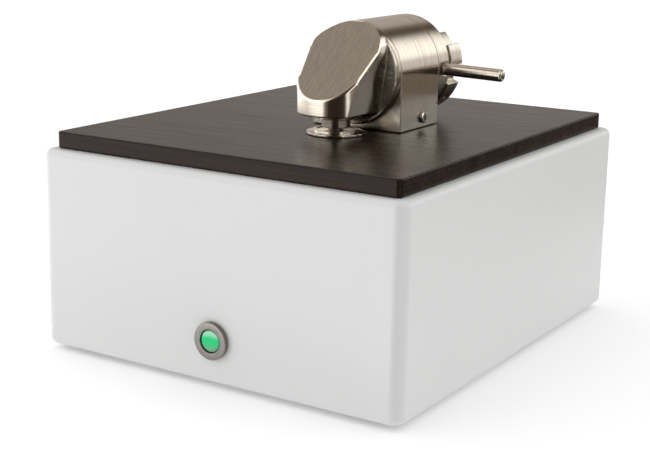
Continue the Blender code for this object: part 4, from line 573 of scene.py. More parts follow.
# the press is drawn about its swing axis, with y = 0 at the block's front face
press = {"axisZ": 0.1724, "frontY": -0.018, "radius": 0.032, "length": 0.048, "height": 0.0351,
         "edge": 0.0005, "bore": 0.0083, "bushBore": 0.0113, "bushStart": -0.003, "bushDepth": 0.06,
         "screwDepth": 0.0145, "pinHole": 0.0023, "pinDepth": 0.012, "sideHoleDepth": 0.0125,
         "speck": 0.0011, "speckAt": (0.029, 0.0462, -0.0222), "speckDepth": 0.005}
sideScrew = {"radius": 0.00385, "head": 0.0018, "crownShare": 0.8, "shoulderShare": 0.55, "soft": 0.0004,
             "slot": 0.0011, "slotLength": 0.01, "slotCut": (0.0009, 0.004), "shank": 0.002, "length": 0.012}
sideScrews = ((1, "side_screw_right", "sideScrewRight"), (-1, "side_screw_left", "sideScrewLeft"))
toPress = moved(pressX, press["frontY"], press["axisZ"])


def makeBlock():
    low, radius = -press["height"] + fit["gap"], press["radius"]
    outline = [(radius, low)] + arcPoints(radius, 0, math.pi, 120) + [(-radius, low)]
    data = prismMesh("pressBlock", outline, -press["length"], 0)
    piece = meshPiece("pressBlock", data, toPress @ alongMinusY)
    softenEdges(piece, press["edge"], 3)
    bush = toPress @ moved(0, press["bushStart"], 0) @ alongY
    cutters = [drill(piece, press["bushBore"], press["bushDepth"], bush, 64)]
    for side, node, _ in sideScrews:
        middle = middleOf(node)
        at = moved(pressX + side * (radius - press["sideHoleDepth"]), middle.y, middle.z) @ sideways(side)
        cutters.append(drill(piece, press["pinHole"], fit["through"], at))
    for node in pressScrews:
        middle = middleOf(node)
        at = moved(middle.x, middle.y, deck["top"] - fit["past"])
        cutters.append(drill(piece, deck["screwHole"], press["screwDepth"], at))
    middle = middleOf("stop_pin")
    at = moved(middle.x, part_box("stop_pin")[0].y - fit["gap"], middle.z) @ alongY
    cutters.append(drill(piece, press["pinHole"], press["pinDepth"], at))
    at = toPress @ moved(*press["speckAt"]) @ sideways(1)
    cutters.append(drill(piece, press["speck"], press["speckDepth"], at))
    dress(bake(piece, cutters), "steelRound", "case", "brushed_steel", "press_block")


def makeSideScrews():
    radius, top, shank, long = pick(sideScrew, "radius head shank length")
    crown, shoulder = radius * sideScrew["crownShare"], top * sideScrew["shoulderShare"]
    profile = [(0, top), (crown, top), (radius, shoulder), (radius, 0), (shank, 0)]
    profile = softCorner(profile, sideScrew["soft"]) + [(shank, -long), (0, -long)]
    x, y = sideScrew["slotLength"] / 2, sideScrew["slot"] / 2
    for side, node, name in sideScrews:
        low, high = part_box(node)
        middle = middleOf(node)
        at = moved((high.x if side > 0 else low.x) - side * top, middle.y, middle.z) @ sideways(side)
        piece = meshPiece(name, turnedMesh("sideScrew", profile, 48), at)
        slot = cutterFor(piece, prismMesh("slot", rectangle(-x, -y, x, y), *sideScrew["slotCut"]), at)
        dress(bake(piece, [slot]), "polished", "case", "polished_steel", node)


makeBlock()
makeSideScrews()
print("press block made")

head = {"radius": 0.0248, "reach": 0.0225, "bottom": -0.0224, "cornerX": 0.0177, "cornerReach": 0.0399,
        "flare": math.tan(math.radians(3.2)), "lean": math.tan(math.radians(9)), "tilt": math.radians(43),
        "offset": 0.0233, "limit": 0.0318, "rear": -0.0005, "rim": 0.0021, "foot": 0.0010,
        "softCorner": 0.014, "softDepth": 0.003, "sideShare": 0.89, "faceSteps": 26, "backSteps": 10,
        "frontSteps": 90, "footSteps": 6, "sideSteps": 18, "rimSteps": 10, "turnSteps": 6,
        "cutSize": 0.1, "cutDepth": 0.08, "cutGap": 0.0001}
head["rise"] = head["offset"] / math.cos(head["tilt"])
flange = {"chamfer": 0.0004, "straight": 0.0012, "round": 0.0014, "roundLength": 0.0042, "faceFrom": -0.98}
guideBore = {"radius": 0.011, "wide": 0.012, "wideDepth": 0.009, "depth": 0.0208}
shaftBore = {"start": -0.010, "depth": 0.012}
faceNormal = Vector((0, -math.sin(head["tilt"]), math.cos(head["tilt"])))


def headTop(x, y):
    # the rounded back or the oblique face, whichever is lower
    return min(math.sqrt(max(head["limit"] ** 2 - x * x, 0)), y * math.tan(head["tilt"]) + head["rise"])


def headSide(y, z, inset):
    # upright sides above, leaning in below and flared towards the flange
    ahead, above = y + head["cornerReach"], z - head["bottom"]
    leaning = head["cornerX"] + ahead * head["flare"] + above * head["lean"]
    return min(head["radius"], leaning) - inset


def frontPoint(level, inset, angle):
    radius = head["radius"] - inset
    x, y = radius * math.cos(angle), -head["reach"] - radius * math.sin(angle)
    return x, y, level(x, y)


def headRing(level, inset):
    # halving finds the angle at which the rounded front meets the side
    low, high = 0, math.pi / 2
    for _ in range(40):
        middle = (low + high) / 2
        x, y, z = frontPoint(level, inset, middle)
        low, high = (middle, high) if x > headSide(y, z, inset) else (low, middle)
    start = frontPoint(level, inset, high)[1]
    end = (math.sqrt(head["limit"] ** 2 - head["radius"] ** 2) - head["rise"]) / math.tan(head["tilt"])
    places = []
    for first, last, count in ((start, end, head["faceSteps"]), (end, head["rear"], head["backSteps"])):
        places += [first + (last - first) * i / count for i in range(1, count + 1)]
    # x settles in a few rounds, because the side leans with the height at x
    right = []
    for y in places:
        x = head["radius"] - inset
        for _ in range(20):
            x = headSide(y, level(x, y), inset)
        right.append((x, y, level(x, y)))
    count, sweep = head["frontSteps"], math.pi - 2 * high
    front = [frontPoint(level, inset, math.pi - high - sweep * i / count) for i in range(count + 1)]
    return [(-x, y, z) for x, y, z in reversed(right)] + front + right


def rimNormals(rim):
    # outward directions of the wall and of the top along the upper rim
    sides = head["faceSteps"] + head["backSteps"]
    for i, (x, y, z) in enumerate(rim):
        steps = min(i, len(rim) - 1 - i)
        wall = Vector((x, y + head["reach"], 0)).normalized()
        if steps <= sides:
            side = Vector((math.copysign(1, x), 0, 0))
            if abs(x) < head["radius"] - fit["same"]:
                side = (side - Vector((0, head["flare"], head["lean"]))).normalized()
            wall = side if steps < sides else (side + wall).normalized()
        share = min(max((head["backSteps"] + head["turnSteps"] / 2 - steps) / head["turnSteps"], 0), 1)
        yield wall, (faceNormal.lerp(Vector((x, 0, z)).normalized(), share)).normalized()


def rimPoint(corner, wall, top, share):
    # a true round between the wall and the top
    half, corner = wall.angle(top) / 2, Vector(corner)
    along = wall.cross(top).normalized()
    reach = head["rim"] * math.tan(half)
    low, high = corner + wall.cross(along) * reach, corner + along.cross(top) * reach
    lowShare, highShare = (1 - share) ** 2, share ** 2
    cornerShare = 2 * share * (1 - share) * math.cos(half)
    blend = low * lowShare + corner * cornerShare + high * highShare
    return blend / (lowShare + cornerShare + highShare)


def softenCorner(point):
    # rounds the corner where an upright side meets the rounded back
    soft = head["softCorner"]
    middleX = head["radius"] - soft
    middleZ = math.sqrt((head["limit"] - soft) ** 2 - middleX ** 2)
    across, up = abs(point.x) - middleX, point.z - middleZ
    far = math.hypot(across, up)
    if far > soft and across > 0 and 0 < math.atan2(up, across) < math.atan2(middleZ, middleX):
        drop = up - up * soft / far
        depth = (head["rise"] + point.y * math.tan(head["tilt"]) - point.z) * math.cos(head["tilt"])
        point.y -= max(1 - max(depth, 0) / head["softDepth"], 0) * drop / math.tan(head["tilt"])
        point.x, point.z = math.copysign(middleX + across * soft / far, point.x), point.z - drop


def headRings():
    # rings of points from the foot to the oblique face's rim, each with its finish's place
    floor, bend = head["bottom"] + head["foot"], quarterRound(head["foot"], head["foot"], head["footSteps"])
    rings = [(headRing(lambda x, y: floor - out, inset), 0) for out, inset in reversed(bend)]
    for i in range(1, head["sideSteps"] + 1):
        share = head["sideShare"] * i / head["sideSteps"]
        rings.append((headRing(lambda x, y: floor + (headTop(x, y) - floor) * share, 0), 0))
    corners = headRing(headTop, 0)
    normals = list(rimNormals(corners))
    for i in range(head["rimSteps"] + 1):
        points = [rimPoint(corner, *pair, i / head["rimSteps"]) for corner, pair in zip(corners, normals)]
        rings.append((points, 1 if i else 0))
    return rings


def headMesh():
    half = head["backSteps"]
    rings = headRings()
    last = rings[-1][0]
    for point in last:
        point.z = headTop(point.x, point.y)
    for point in (last[half], last[-half - 1]):
        point.z = math.sqrt(head["limit"] ** 2 - point.x ** 2)
        point.y = (point.z - head["rise"]) / math.tan(head["tilt"])
    shape = bmesh.new()
    loops = [[shape.verts.new(point) for point in points] for points, _ in rings]
    for (low, high), (_, mark) in zip(zip(loops, loops[1:]), rings[1:]):
        for i in range(len(low)):
            j = (i + 1) % len(low)
            shape.faces.new((low[i], low[j], high[j], high[i])).material_index = mark if j else 0
    shape.faces.new(list(reversed(loops[0])))
    ring = loops[-1]
    level = head["rise"] + head["rear"] * math.tan(head["tilt"])
    meetX = math.sqrt(head["limit"] ** 2 - level ** 2)
    ridges, backs, steps = [], [], head["faceSteps"]
    for side, edge in ((-1, ring[:half + 1]), (1, ring[:-half - 2:-1])):
        tip = shape.verts.new((side * meetX, head["rear"], level))
        ridge, back, edgeX = [edge[-1]], [edge[0]], abs(edge[-1].co.x)
        for i in range(1, steps):
            x = edgeX + (meetX - edgeX) * i / steps
            z = math.sqrt(head["limit"] ** 2 - x * x)
            ridge.append(shape.verts.new((side * x, (z - head["rise"]) / math.tan(head["tilt"]), z)))
            back.append(shape.verts.new((side * x, head["rear"], z)))
        loopsHere = [[ridge[1], back[1]] + edge, [ridge[-1], tip, back[-1]]]
        loopsHere += [[ridge[i], ridge[i + 1], back[i + 1], back[i]] for i in range(1, steps - 1)]
        for corner in loopsHere:
            shape.faces.new(corner if side < 0 else list(reversed(corner))).material_index = 3
        ridges.append(ridge + [tip])
        backs.append(back + [tip])
    shape.faces.new(ring[half:-half] + ridges[1][1:] + list(reversed(ridges[0][1:]))).material_index = 2
    shape.faces.new(backs[0] + list(reversed(backs[1])))
    for vert in shape.verts:
        softenCorner(vert.co)
    data = bpy.data.meshes.new("pressHead")
    shape.to_mesh(data)
    shape.free()
    data.shade_smooth()
    data.set_sharp_from_angle(angle=math.radians(30))
    # the rim rounds take the lighter steel, a painted highlight
    for finish in ("steelUpright", "steelEdgeHighlight", "steelFace", "steelRound"):
        data.materials.append(finishes[finish])
    return data


def makeDisc():
    # the flange behind the head's body, cut off flush with the oblique face
    radius = press["radius"]
    chamfer, straight, drop, long = pick(flange, "chamfer straight round roundLength")
    rim = [(0, 0), (radius - chamfer, 0), (radius, -chamfer)]
    rim += [(radius - y, -straight - x) for x, y in quarterRound(long, drop, 8)]
    rim.append((0, -straight - long))
    disc = meshPiece("disc", turnedMesh("disc", rim, 160), toPress @ moved(0, -fit["gap"], 0) @ alongY)
    # the flange's front face takes the darker steel, a painted shade
    for finish in ("steelRound", "steelFlatShaded"):
        disc.data.materials.append(finishes[finish])
    for face in disc.data.polygons:
        face.material_index = 1 if face.normal.y < flange["faceFrom"] else 0
    half = head["cutSize"] / 2
    square = rectangle(-half, -half, half, half)
    slab = prismMesh("slab", square, head["offset"] - head["cutGap"], head["cutDepth"])
    return bake(disc, [cutterFor(disc, slab, toPress @ Matrix.Rotation(head["tilt"], 4, "X"))])


def makeHead():
    piece = meshPiece("pressHead", headMesh(), toPress)
    disc = makeDisc()
    narrow, wide, step, depth = pick(guideBore, "radius wide wideDepth depth")
    profile = [(0, depth), (narrow, depth), (narrow, step), (wide, step), (wide, 0), (0, 0)]
    at = toPress @ moved(0, anvilReach, head["bottom"] - fit["past"])
    bores = [cutterFor(piece, turnedMesh("guideBore", profile, 64), at)]
    weld = piece.modifiers.new("weld", "BOOLEAN")
    weld.operation, weld.solver, weld.object = "UNION", "EXACT", disc
    weld.material_mode = "TRANSFER"
    at = toPress @ moved(0, shaftBore["start"], 0) @ alongY
    bores.append(drill(piece, press["bore"], shaftBore["depth"], at, 64))
    disc.hide_render = True
    dress(bake(piece, bores + [disc]), None, "press_arm", "brushed_steel", "press_head")


makeHead()
print("press head made")

anvil = {"radius": 0.0088, "chamfer": 0.0006, "tip": 0.0045, "low": -0.0315, "flange": 0.0106,
         "flangeHeight": 0.002, "stem": 0.004, "stemHeight": 0.0066, "soft": 0.0002}
guide = {"radius": 0.0117, "height": 0.0070, "coneTop": 0.0130, "coneLow": 0.0109, "cone": 0.0029,
         "bevel": 0.0004}


def makeAnvil():
    at, soft = toPress @ moved(0, anvilReach, 0), anvil["soft"]
    wide, high, coneTop, coneLow, bevel = pick(guide, "radius height coneTop coneLow bevel")
    low, bore = head["bottom"] - fit["gap"], anvil["radius"] + fit["gap"]
    end = low - guide["cone"]
    profile = [(wide, low + high), (wide, low)] + softCorner([
        (wide, low), (coneTop, low), (coneLow, end), (bore + bevel, end), (bore, end + bevel),
    ], soft, 3) + [(bore, low + high)]
    piece = meshPiece("anvilGuide", turnedMesh("anvilGuide", profile, 96, True), at)
    dress(piece, "steelTurned", "press_arm", "polished_steel", "anvil_guide")
    wide, rim, stem, tip, low, edge = pick(anvil, "radius flange stem tip low chamfer")
    top = head["bottom"] + high
    end, shelf = top + anvil["stemHeight"], top + anvil["flangeHeight"]
    profile = [(0, end), (stem, end), (stem, shelf), (rim, shelf), (rim, top)] + softCorner([
        (rim, top), (wide, top), (wide, low + 2 * edge), (wide - edge, low + edge), (tip, low + edge),
        (tip, low), (0, low),
    ], soft, 3)
    piece = meshPiece("anvilTip", turnedMesh("anvilTip", profile, 96), at)
    dress(piece, "steelTurned", "anvil", "polished_steel", "anvil")


plate = {"radius": 0.0181, "thick": 0.0013, "ring": 0.0135, "ringHeight": 0.0014, "inside": 0.0124,
         "bevel": 0.0006, "rise": 0.0048, "mouth": 0.0042, "bore": 0.0033, "boreDepth": 0.0013,
         "beam": 0.0022, "spigot": 0.0056, "spigotLength": 0.005, "soft": 0.00025}


def makeCrystalPlate():
    wide, thick, ring, inside, bevel = pick(plate, "radius thick ring inside bevel")
    bore, beam, spigot, low = pick(plate, "bore beam spigot spigotLength")
    top = thick + plate["ringHeight"]
    seat = top - plate["boreDepth"]
    profile = softCorner([
        (spigot, 0), (wide, 0), (wide, thick), (ring, thick), (ring, top), (inside, top),
        (inside - bevel, top - bevel), (plate["rise"], top - bevel), (plate["mouth"], top), (bore, top),
    ], plate["soft"], 3) + [(bore, seat), (beam, seat), (beam, -low), (spigot, -low)]
    at = moved(pressX, anvilY, deck["top"] + fit["gap"])
    piece = meshPiece("crystalPlate", turnedMesh("crystalPlate", profile, 128, True), at)
    dress(piece, "steelTurned", "case", "polished_steel", "crystal_plate")


makeAnvil()
makeCrystalPlate()
print("anvil and crystal plate made")

collar = {"start": 0.0483, "length": 0.0147, "soft": 0.0004, "groove": (0.0196, 0.0244),
          "grooveDepth": 0.0042, "grooveTurns": (29, 141), "pips": ((0.0589, 5), (0.0589, 70)),
          "pip": 0.0011, "pipDepth": 0.003}
lever = {"radius": 0.004, "y": 0.0562, "root": 0.0143, "end": 0.0737, "angle": -1.5, "hole": 0.0044,
         "holeDepth": 0.03, "bevel": 0.0007, "crown": 0.0012}


def fromAxis(radius, degrees, y):
    # a place on a turned piece, with Z pointing away from the axis
    angle = math.radians(degrees)
    turn = Matrix.Rotation(math.pi / 2 - angle, 4, "Y")
    return toPress @ moved(radius * math.cos(angle), y, radius * math.sin(angle)) @ turn


def makeCollar():
    start, long, soft, depth = pick(collar, "start length soft pipDepth")
    radius, bore = pick(press, "radius bore")
    profile = softCorner([(bore, 0), (radius, 0), (radius, long), (bore, long)], soft, 3)
    piece = meshPiece("leverCollar", turnedMesh("leverCollar", profile, 160, True),
                      toPress @ moved(0, start, 0) @ alongY)
    (inside, outside), (first, last) = collar["groove"], (math.radians(d) for d in collar["grooveTurns"])
    groove = arcPoints(outside, last, first, 48) + arcPoints(inside, first, last, 48)
    groove = prismMesh("groove", groove, -start - collar["grooveDepth"], -start + fit["past"])
    at = fromAxis(lever["root"] - fit["gap"], lever["angle"], lever["y"])
    cutters = [cutterFor(piece, groove, toPress @ alongMinusY),
               drill(piece, lever["hole"], lever["holeDepth"], at, 48)]
    for y, degrees in collar["pips"]:
        cutters.append(drill(piece, collar["pip"], 2 * depth, fromAxis(radius - depth, degrees, y)))
    dress(bake(piece, cutters), "steelRound", "press_arm", "brushed_steel", "lever_collar")


def makeLever():
    radius, bevel, crown, root = pick(lever, "radius bevel crown root")
    long = lever["end"] - root
    profile = [(x, long - y) for x, y in quarterRound(radius - bevel, crown, 8)]
    profile += [(radius, long - crown - bevel), (radius, bevel), (radius - bevel, 0), (0, 0)]
    at = fromAxis(root, lever["angle"], lever["y"])
    piece = meshPiece("leverPin", turnedMesh("leverPin", profile, 64), at)
    dress(piece, "steelPin", "press_arm", "polished_steel", "lever")


hub = {"start": 0.0633, "length": 0.0152, "radius": 0.0285, "lug": 0.0331, "neck": 0.0235, "step": 46.5,
       "upper": (1, 25), "lower": (-128, -20.4), "edge": 0.0004, "setHole": 0.0024, "setDepth": 0.0056,
       "setTurn": -40, "boreStart": -0.005, "boreDepth": 0.03}


def makeHub():
    (up, upEnd), (low, lowEnd) = ([math.radians(d) for d in hub[key]] for key in ("upper", "lower"))
    lug, radius, step = hub["lug"], hub["radius"], math.radians(hub["step"])
    outline = arcPoints(lug, low, lowEnd, 60) + arcPoints(radius, lowEnd, up, 14)
    outline += arcPoints(lug, up, upEnd, 14) + arcPoints(radius, upEnd, step, 14)
    outline += arcPoints(hub["neck"], step, low + 2 * math.pi, 80)
    start, long = hub["start"], hub["length"]
    piece = meshPiece("stopHub", prismMesh("stopHub", outline, -start - long, -start), toPress @ alongMinusY)
    softenEdges(piece, hub["edge"], 2)
    bore = toPress @ moved(0, start + hub["boreStart"], 0) @ alongY
    setHole = fromAxis(lug - hub["setDepth"], hub["setTurn"], start + long / 2)
    cutters = [drill(piece, press["bore"], hub["boreDepth"], bore, 64),
               drill(piece, hub["setHole"], fit["through"], setHole, 40)]
    dress(bake(piece, cutters), "steelRound", "press_arm", "brushed_steel", "stop_hub")


makeCollar()
makeLever()
makeHub()
print("collar, lever and hub made")


def geometryTree(name, inputs, kinds, links):
    # a link names an output and an input, as in "grid.Mesh > move.Geometry"
    tree = bpy.data.node_groups.new(name, "GeometryNodeTree")
    sockets = {"Geometry": ("Geometry", None), **inputs, "Finish": ("Material", None)}
    for label, (kind, default) in sockets.items():
        socket = tree.interface.new_socket(label, in_out="INPUT", socket_type="NodeSocket" + kind)
        if default is not None:
            socket.default_value = default
    tree.interface.new_socket("Geometry", in_out="OUTPUT", socket_type="NodeSocketGeometry")
    nodes = {"start": tree.nodes.new("NodeGroupInput"), "end": tree.nodes.new("NodeGroupOutput")}
    for key, kind in {**kinds, "real": "RealizeInstances", "painted": "SetMaterial"}.items():
        nodes[key] = tree.nodes.new("GeometryNode" + kind)
    links += ["real.Geometry > painted.Geometry", "start.Finish > painted.Material",
              "painted.Geometry > end.Geometry"]
    for link in links:
        (source, output), (target, entry) = (place.split(".") for place in link.split(" > "))
        tree.links.new(nodes[source].outputs[output], nodes[target].inputs[entry])
    return tree, nodes


def gridTree():
    # puts a copy on each corner of a rectangle
    tree, nodes = geometryTree("piecesOnGrid", {
        "Spacing X": ("Float", 0.1), "Spacing Y": ("Float", 0.1), "Place": ("Vector", (0, 0, 0)),
    }, {"grid": "MeshGrid", "instance": "InstanceOnPoints", "move": "SetPosition"}, [
        "start.Spacing X > grid.Size X", "start.Spacing Y > grid.Size Y", "grid.Mesh > move.Geometry",
        "start.Place > move.Offset", "move.Geometry > instance.Points", "start.Geometry > instance.Instance",
        "instance.Instances > real.Geometry",
    ])
    for count in ("Vertices X", "Vertices Y"):
        nodes["grid"].inputs[count].default_value = 2
    return tree


def spiralTree():
    # sweeps a round wire along a spiral
    tree, nodes = geometryTree("wireOnSpiral", {
        "Turns": ("Float", 4.0), "Radius": ("Float", 0.0078), "Height": ("Float", 0.0077),
        "Wire": ("Float", 0.0007), "Steps": ("Int", 120), "Place": ("Vector", (0, 0, 0)),
        "Turn": ("Vector", (0, 0, 0)),
    }, {
        "spiral": "CurveSpiral", "ring": "CurvePrimitiveCircle", "sweep": "CurveToMesh", "move": "Transform",
        "smooth": "SetShadeSmooth",
    }, [
        "start.Turns > spiral.Rotations", "start.Radius > spiral.Start Radius",
        "start.Radius > spiral.End Radius", "start.Height > spiral.Height",
        "start.Steps > spiral.Resolution", "start.Wire > ring.Radius", "spiral.Curve > sweep.Curve",
        "ring.Curve > sweep.Profile Curve", "sweep.Mesh > move.Geometry", "start.Place > move.Translation",
        "start.Turn > move.Rotation", "move.Geometry > smooth.Geometry", "smooth.Geometry > real.Geometry",
    ])
    nodes["ring"].inputs["Resolution"].default_value = 12
    nodes["sweep"].inputs["Fill Caps"].default_value = True
    return tree


def grow(name, tree, data, **values):
    piece = meshPiece(name, data)
    step = piece.modifiers.new("grow", "NODES")
    step.node_group = tree
    for item in tree.interface.items_tree:
        key = item.name.replace(" ", "")
        if item.in_out == "INPUT" and key in values:
            step[item.identifier] = values[key]
    return settle(piece)


foot = {"radius": 0.009, "spacingX": 0.194, "spacingY": 0.231, "high": 0.0029, "bevel": 0.0006,
        "edge": 0.0008, "hollow": 0.0045, "hollowEdge": 0.0052, "hollowDepth": 0.0004, "stem": 0.0025,
        "barb": 0.0031, "barbSpan": (0.0055, 0.0058), "tip": 0.0019, "tipTop": 0.0067, "soft": 0.0002}
baseScrew = {"radius": 0.0029, "head": 0.0014, "recess": 0.0012, "recessDepth": 0.0009, "bevel": 0.0004,
             "edge": 0.0005, "shank": 0.0015, "soft": 0.0001}
spring = {"turns": 4.0, "radius": 0.0078, "wire": 0.0007}
winding = {"turns": 12.0, "radius": 0.0081, "wire": 0.00034, "length": 0.0125, "start": 0.0008}


def makeFeet(onGrid):
    radius, high, bevel, hollow, sunk = pick(foot, "radius high bevel hollow hollowDepth")
    stem, barb, tip, end = pick(foot, "stem barb tip tipTop")
    low, top = foot["barbSpan"]
    profile = softCorner([
        (0, sunk), (hollow, sunk), (foot["hollowEdge"], 0), (radius - bevel, 0), (radius, foot["edge"]),
        (radius - bevel, high), (stem, high), (stem, low), (barb, low), (barb, top), (tip, end), (0, end),
    ], foot["soft"], 2)
    feet = grow("rubberFeet", onGrid, turnedMesh("foot", profile, 48), SpacingX=foot["spacingX"],
                SpacingY=foot["spacingY"], Place=(0.0, 0.0, 0.0), Finish=finishes["rubber"])
    dress(feet, None, "case", "rubber", "foot_front_left", "foot_front_right", "foot_rear_left",
          "foot_rear_right")


def makeBaseScrews(onGrid):
    first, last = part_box("base_screw_1")[0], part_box("base_screw_4")[1]
    radius, top, shank, recess, sunk = pick(baseScrew, "radius head shank recess recessDepth")
    long, wide, deep = last.z - first.z, last.x - first.x - 2 * radius, last.y - first.y - 2 * radius
    profile = softCorner([
        (0, sunk), (recess, sunk), (recess, 0), (radius - baseScrew["bevel"], 0), (radius, baseScrew["edge"]),
        (radius, top), (shank, top), (shank, long), (0, long),
    ], baseScrew["soft"], 2)
    screws = grow("baseScrews", onGrid, turnedMesh("screw", profile, 32), SpacingX=wide, SpacingY=deep,
                  Place=(0.0, 0.0, first.z), Finish=finishes["polished"])
    dress(screws, None, "case", "polished_steel", "base_screw_1", "base_screw_2", "base_screw_3",
          "base_screw_4")


def makeSpring(onSpiral):
    low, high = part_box("anvil_spring")
    turns, radius, thick = pick(spring, "turns radius wire")
    tall = high.z - low.z
    wire = grow("anvilSpring", onSpiral, bpy.data.meshes.new("wire"), Turns=turns, Radius=radius,
                Height=tall - 2 * thick, Wire=thick, Steps=120, Place=(pressX, anvilY, low.z + thick),
                Finish=finishes["springWire"])
    dress(wire, None, "press_arm", "spring_steel", "anvil_spring")
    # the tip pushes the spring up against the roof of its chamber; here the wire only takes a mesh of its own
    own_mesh(wire)


def makeWinding(onSpiral):
    low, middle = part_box("drive_coil")[0], middleOf("drive_coil")
    turns = grow("coilWinding", onSpiral, bpy.data.meshes.new("winding"), Turns=winding["turns"],
                 Radius=winding["radius"], Height=winding["length"], Wire=winding["wire"], Steps=420,
                 Place=(low.x + winding["start"], middle.y, middle.z), Turn=(0.0, math.pi / 2, 0.0),
                 Finish=finishes["copper"])
    dress(turns, None, "mirror_carriage", "copper")


pieceGrid, wireSpiral = gridTree(), spiralTree()
makeFeet(pieceGrid)
makeBaseScrews(pieceGrid)
makeSpring(wireSpiral)
makeWinding(wireSpiral)
print("feet, screws and wires made")

studio = {"floor": (0.85, 0.85, 0.85), "floorLift": 0.235, "floorRadius": 0.42,
          "floorAt": (-0.107, 0.169, -0.0002), "skyLight": 1.14, "seenWhite": 1.1, "grey": 0.30,
          "lampAt": (-0.55, -0.5, 0.06), "lampSize": 0.3, "lampPower": 0.28,
          "warmth": ((0.0, (1, 0.78, 0.58)), (0.9, (1, 1, 1)))}
# azimuth is from +X towards +Y, half is half the width, low and high are above the horizon; all in degrees
boxKeys = ("azimuth", "half", "low", "high", "soft", "level")
# what the metal mirrors
softboxes = [
    (206, 57, -40, 4, 10, 2.3),
    (220, 46, 4, 42, 8, 0.95),
    (162, 12, 4, 34, 10, 1.8),
    (140, 12, 26, 52, 8, 0.8),
    (222, 13, 38, 51, 6, 1.7),
    (187, 45, 44, 80, 10, 0.08),
    (166, 10, 58, 80, 8, 0.7),
    (-60, 26, -70, 60, 8, -0.26),
    (-28, 5, -40, 60, 5, 1.6),
    (6, 24, 12, 52, 8, 1.3),
    (64, 12, 10, 40, 6, 1.8),
    (62, 16, -1, 10, 6, 0.65),
    (87, 10, 12, 50, 8, -0.22),
    (113, 13, 14, 40, 8, 0.3),
    (108, 26, -8, 11, 6, 0.36),
    (40, 42, -80, -8, 12, -0.24),
]
# what lights the matt pieces
skyboxes = [
    (-57.7, 45, -20, 60, 40, -0.75),
    (200, 60, 0, 60, 40, 0.3),
    (110, 50, -10, 50, 40, -0.35),
]


def makeStage():
    shape = bmesh.new()
    bmesh.ops.create_circle(shape, cap_ends=True, segments=128, radius=studio["floorRadius"])
    floor = meshPiece("floor", meshFrom(shape, "floor"), moved(*studio["floorAt"]))
    look = newMaterial("floorPaper", studio["floor"], 0.75, Emission_Color=(1, 1, 1, 1),
                       Emission_Strength=studio["floorLift"])
    bump(look, grainNoise(look, (40, 40, 40), 2), 0.02, 0.0005)
    floor.data.materials.append(look)


def addSoftbox(tree, direction, height, box, total):
    # adds one box's light to the total, by its turn and height on the sky
    def compute(operation, first, second=None):
        node = tree.nodes.new("ShaderNodeMath")
        node.operation = operation
        for socket, value in zip(node.inputs, (first, second)):
            if isinstance(value, bpy.types.NodeSocket):
                tree.links.new(value, socket)
            elif value is not None:
                socket.default_value = value
        return node.outputs[0]

    def along(vector):
        node = tree.nodes.new("ShaderNodeVectorMath")
        node.operation = "DOT_PRODUCT"
        tree.links.new(direction, node.inputs[0])
        node.inputs[1].default_value = vector
        return node.outputs["Value"]

    def fade(value, half):
        node = tree.nodes.new("ShaderNodeMapRange")
        node.interpolation_type = "SMOOTHSTEP"
        tree.links.new(value, node.inputs["Value"])
        soft = math.radians(box["soft"]) / 2
        edges = (("From Min", half - soft), ("From Max", half + soft), ("To Min", 1), ("To Max", 0))
        for socket, setting in edges:
            node.inputs[socket].default_value = setting
        return node.outputs[0]

    azimuth, half, low, high = (math.radians(value) for value in pick(box, "azimuth half low high"))
    x, y = math.cos(azimuth), math.sin(azimuth)
    ahead, aside = along((x, y, 0)), along((-y, x, 0))
    turn = compute("ABSOLUTE", compute("ARCTAN2", aside, ahead))
    rise = compute("ABSOLUTE", compute("SUBTRACT", height, (low + high) / 2))
    share = compute("MULTIPLY", fade(turn, half), fade(rise, (high - low) / 2))
    return compute("ADD", total, compute("MULTIPLY", share, box["level"]))


def joinNodes(tree, *pairs):
    for source, target in pairs:
        tree.links.new(source, target)


def newNodes(tree, *kinds):
    return [tree.nodes.new(kind) for kind in kinds]


def makeLamp():
    # a small soft lamp low at the left, unseen in the metal
    data = bpy.data.lights.new("lamp", "AREA")
    data.shape, data.size, data.energy = "DISK", studio["lampSize"], studio["lampPower"]
    lamp = bpy.data.objects.new("lamp", data)
    facing = Vector(studio["lampAt"]).to_track_quat("Z", "Y").to_matrix().to_4x4()
    lamp.matrix_world = moved(*studio["lampAt"]) @ facing
    lamp.visible_glossy, lamp.visible_camera = False, False
    bpy.context.scene.collection.objects.link(lamp)


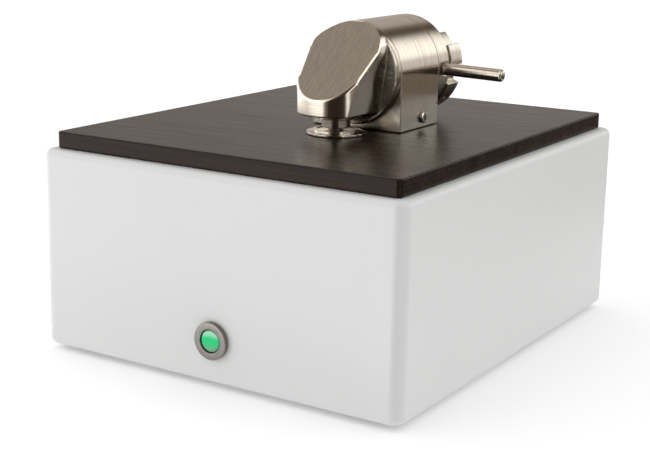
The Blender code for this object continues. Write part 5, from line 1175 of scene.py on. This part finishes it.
def makeLight():
    # the camera sees white, metal mirrors the softboxes, and the rest is lit by the skyboxes
    world = bpy.data.worlds.new("studio")
    bpy.context.scene.world = world
    world.cycles.sampling_method = "NONE"
    world.use_nodes = True
    tree = world.node_tree
    seen, path, apart, lift, warmth, glossy, camera, mirrored, diffuse, white = newNodes(
        tree, "ShaderNodeTexCoord", "ShaderNodeLightPath", "ShaderNodeSeparateXYZ", "ShaderNodeMath",
        "ShaderNodeValToRGB", *["ShaderNodeMixShader"] * 2, *["ShaderNodeBackground"] * 3)
    direction = seen.outputs["Generated"]
    lift.operation = "ARCSINE"
    joinNodes(tree, (direction, apart.inputs[0]), (apart.outputs["Z"], lift.inputs[0]))
    lights = ((mirrored, studio["grey"], softboxes), (diffuse, studio["skyLight"], skyboxes))
    for shade, total, boxes in lights:
        for box in boxes:
            total = addSoftbox(tree, direction, lift.outputs[0], dict(zip(boxKeys, box)), total)
        tree.links.new(total, shade.inputs["Strength"])
    for shade in (diffuse, white):
        shade.inputs["Color"].default_value = (1, 1, 1, 1)
    white.inputs["Strength"].default_value = studio["seenWhite"]
    for stop, (position, colour) in zip(warmth.color_ramp.elements, studio["warmth"]):
        stop.position, stop.color = position, (*colour, 1)
    joinNodes(
        tree, (mirrored.inputs["Strength"].links[0].from_socket, warmth.inputs[0]),
        (warmth.outputs[0], mirrored.inputs["Color"]), (path.outputs["Is Glossy Ray"], glossy.inputs[0]),
        (diffuse.outputs[0], glossy.inputs[1]), (mirrored.outputs[0], glossy.inputs[2]),
        (path.outputs["Is Camera Ray"], camera.inputs[0]), (glossy.outputs[0], camera.inputs[1]),
        (white.outputs[0], camera.inputs[2]),
        (camera.outputs[0], tree.nodes["World Output"].inputs["Surface"]),
    )


view = {"azimuth": 0.5638, "down": 0.2412, "roll": 0.0158, "focal": 1366.31, "width": 650, "sensor": 36,
        "at": (0.4559, -0.7424, 0.2816)}


def makeCamera():
    # angles are in radians; focal is in pixels of a picture of the width given
    azimuth, down, roll = pick(view, "azimuth down roll")
    level = math.cos(down)
    back = Vector((math.sin(azimuth) * level, -math.cos(azimuth) * level, math.sin(down)))
    right = Vector((math.cos(azimuth), math.sin(azimuth), 0))
    up = back.cross(right)
    side = right * math.cos(roll) + up * math.sin(roll)
    top = up * math.cos(roll) - right * math.sin(roll)
    data = bpy.data.cameras.new("camera")
    data.sensor_fit, data.sensor_width = "HORIZONTAL", view["sensor"]
    data.lens = view["focal"] / view["width"] * view["sensor"]
    data.clip_start, data.clip_end = 0.01, 50
    camera = bpy.data.objects.new("camera", data)
    bpy.context.scene.collection.objects.link(camera)
    turn = Matrix((side, top, back)).transposed().to_4x4()
    camera.matrix_world = moved(*view["at"]) @ turn
    bpy.context.scene.camera = camera


makeStage()
makeLight()
makeLamp()
makeCamera()
bpy.context.scene.view_settings.view_transform = "Standard"
print("studio made")
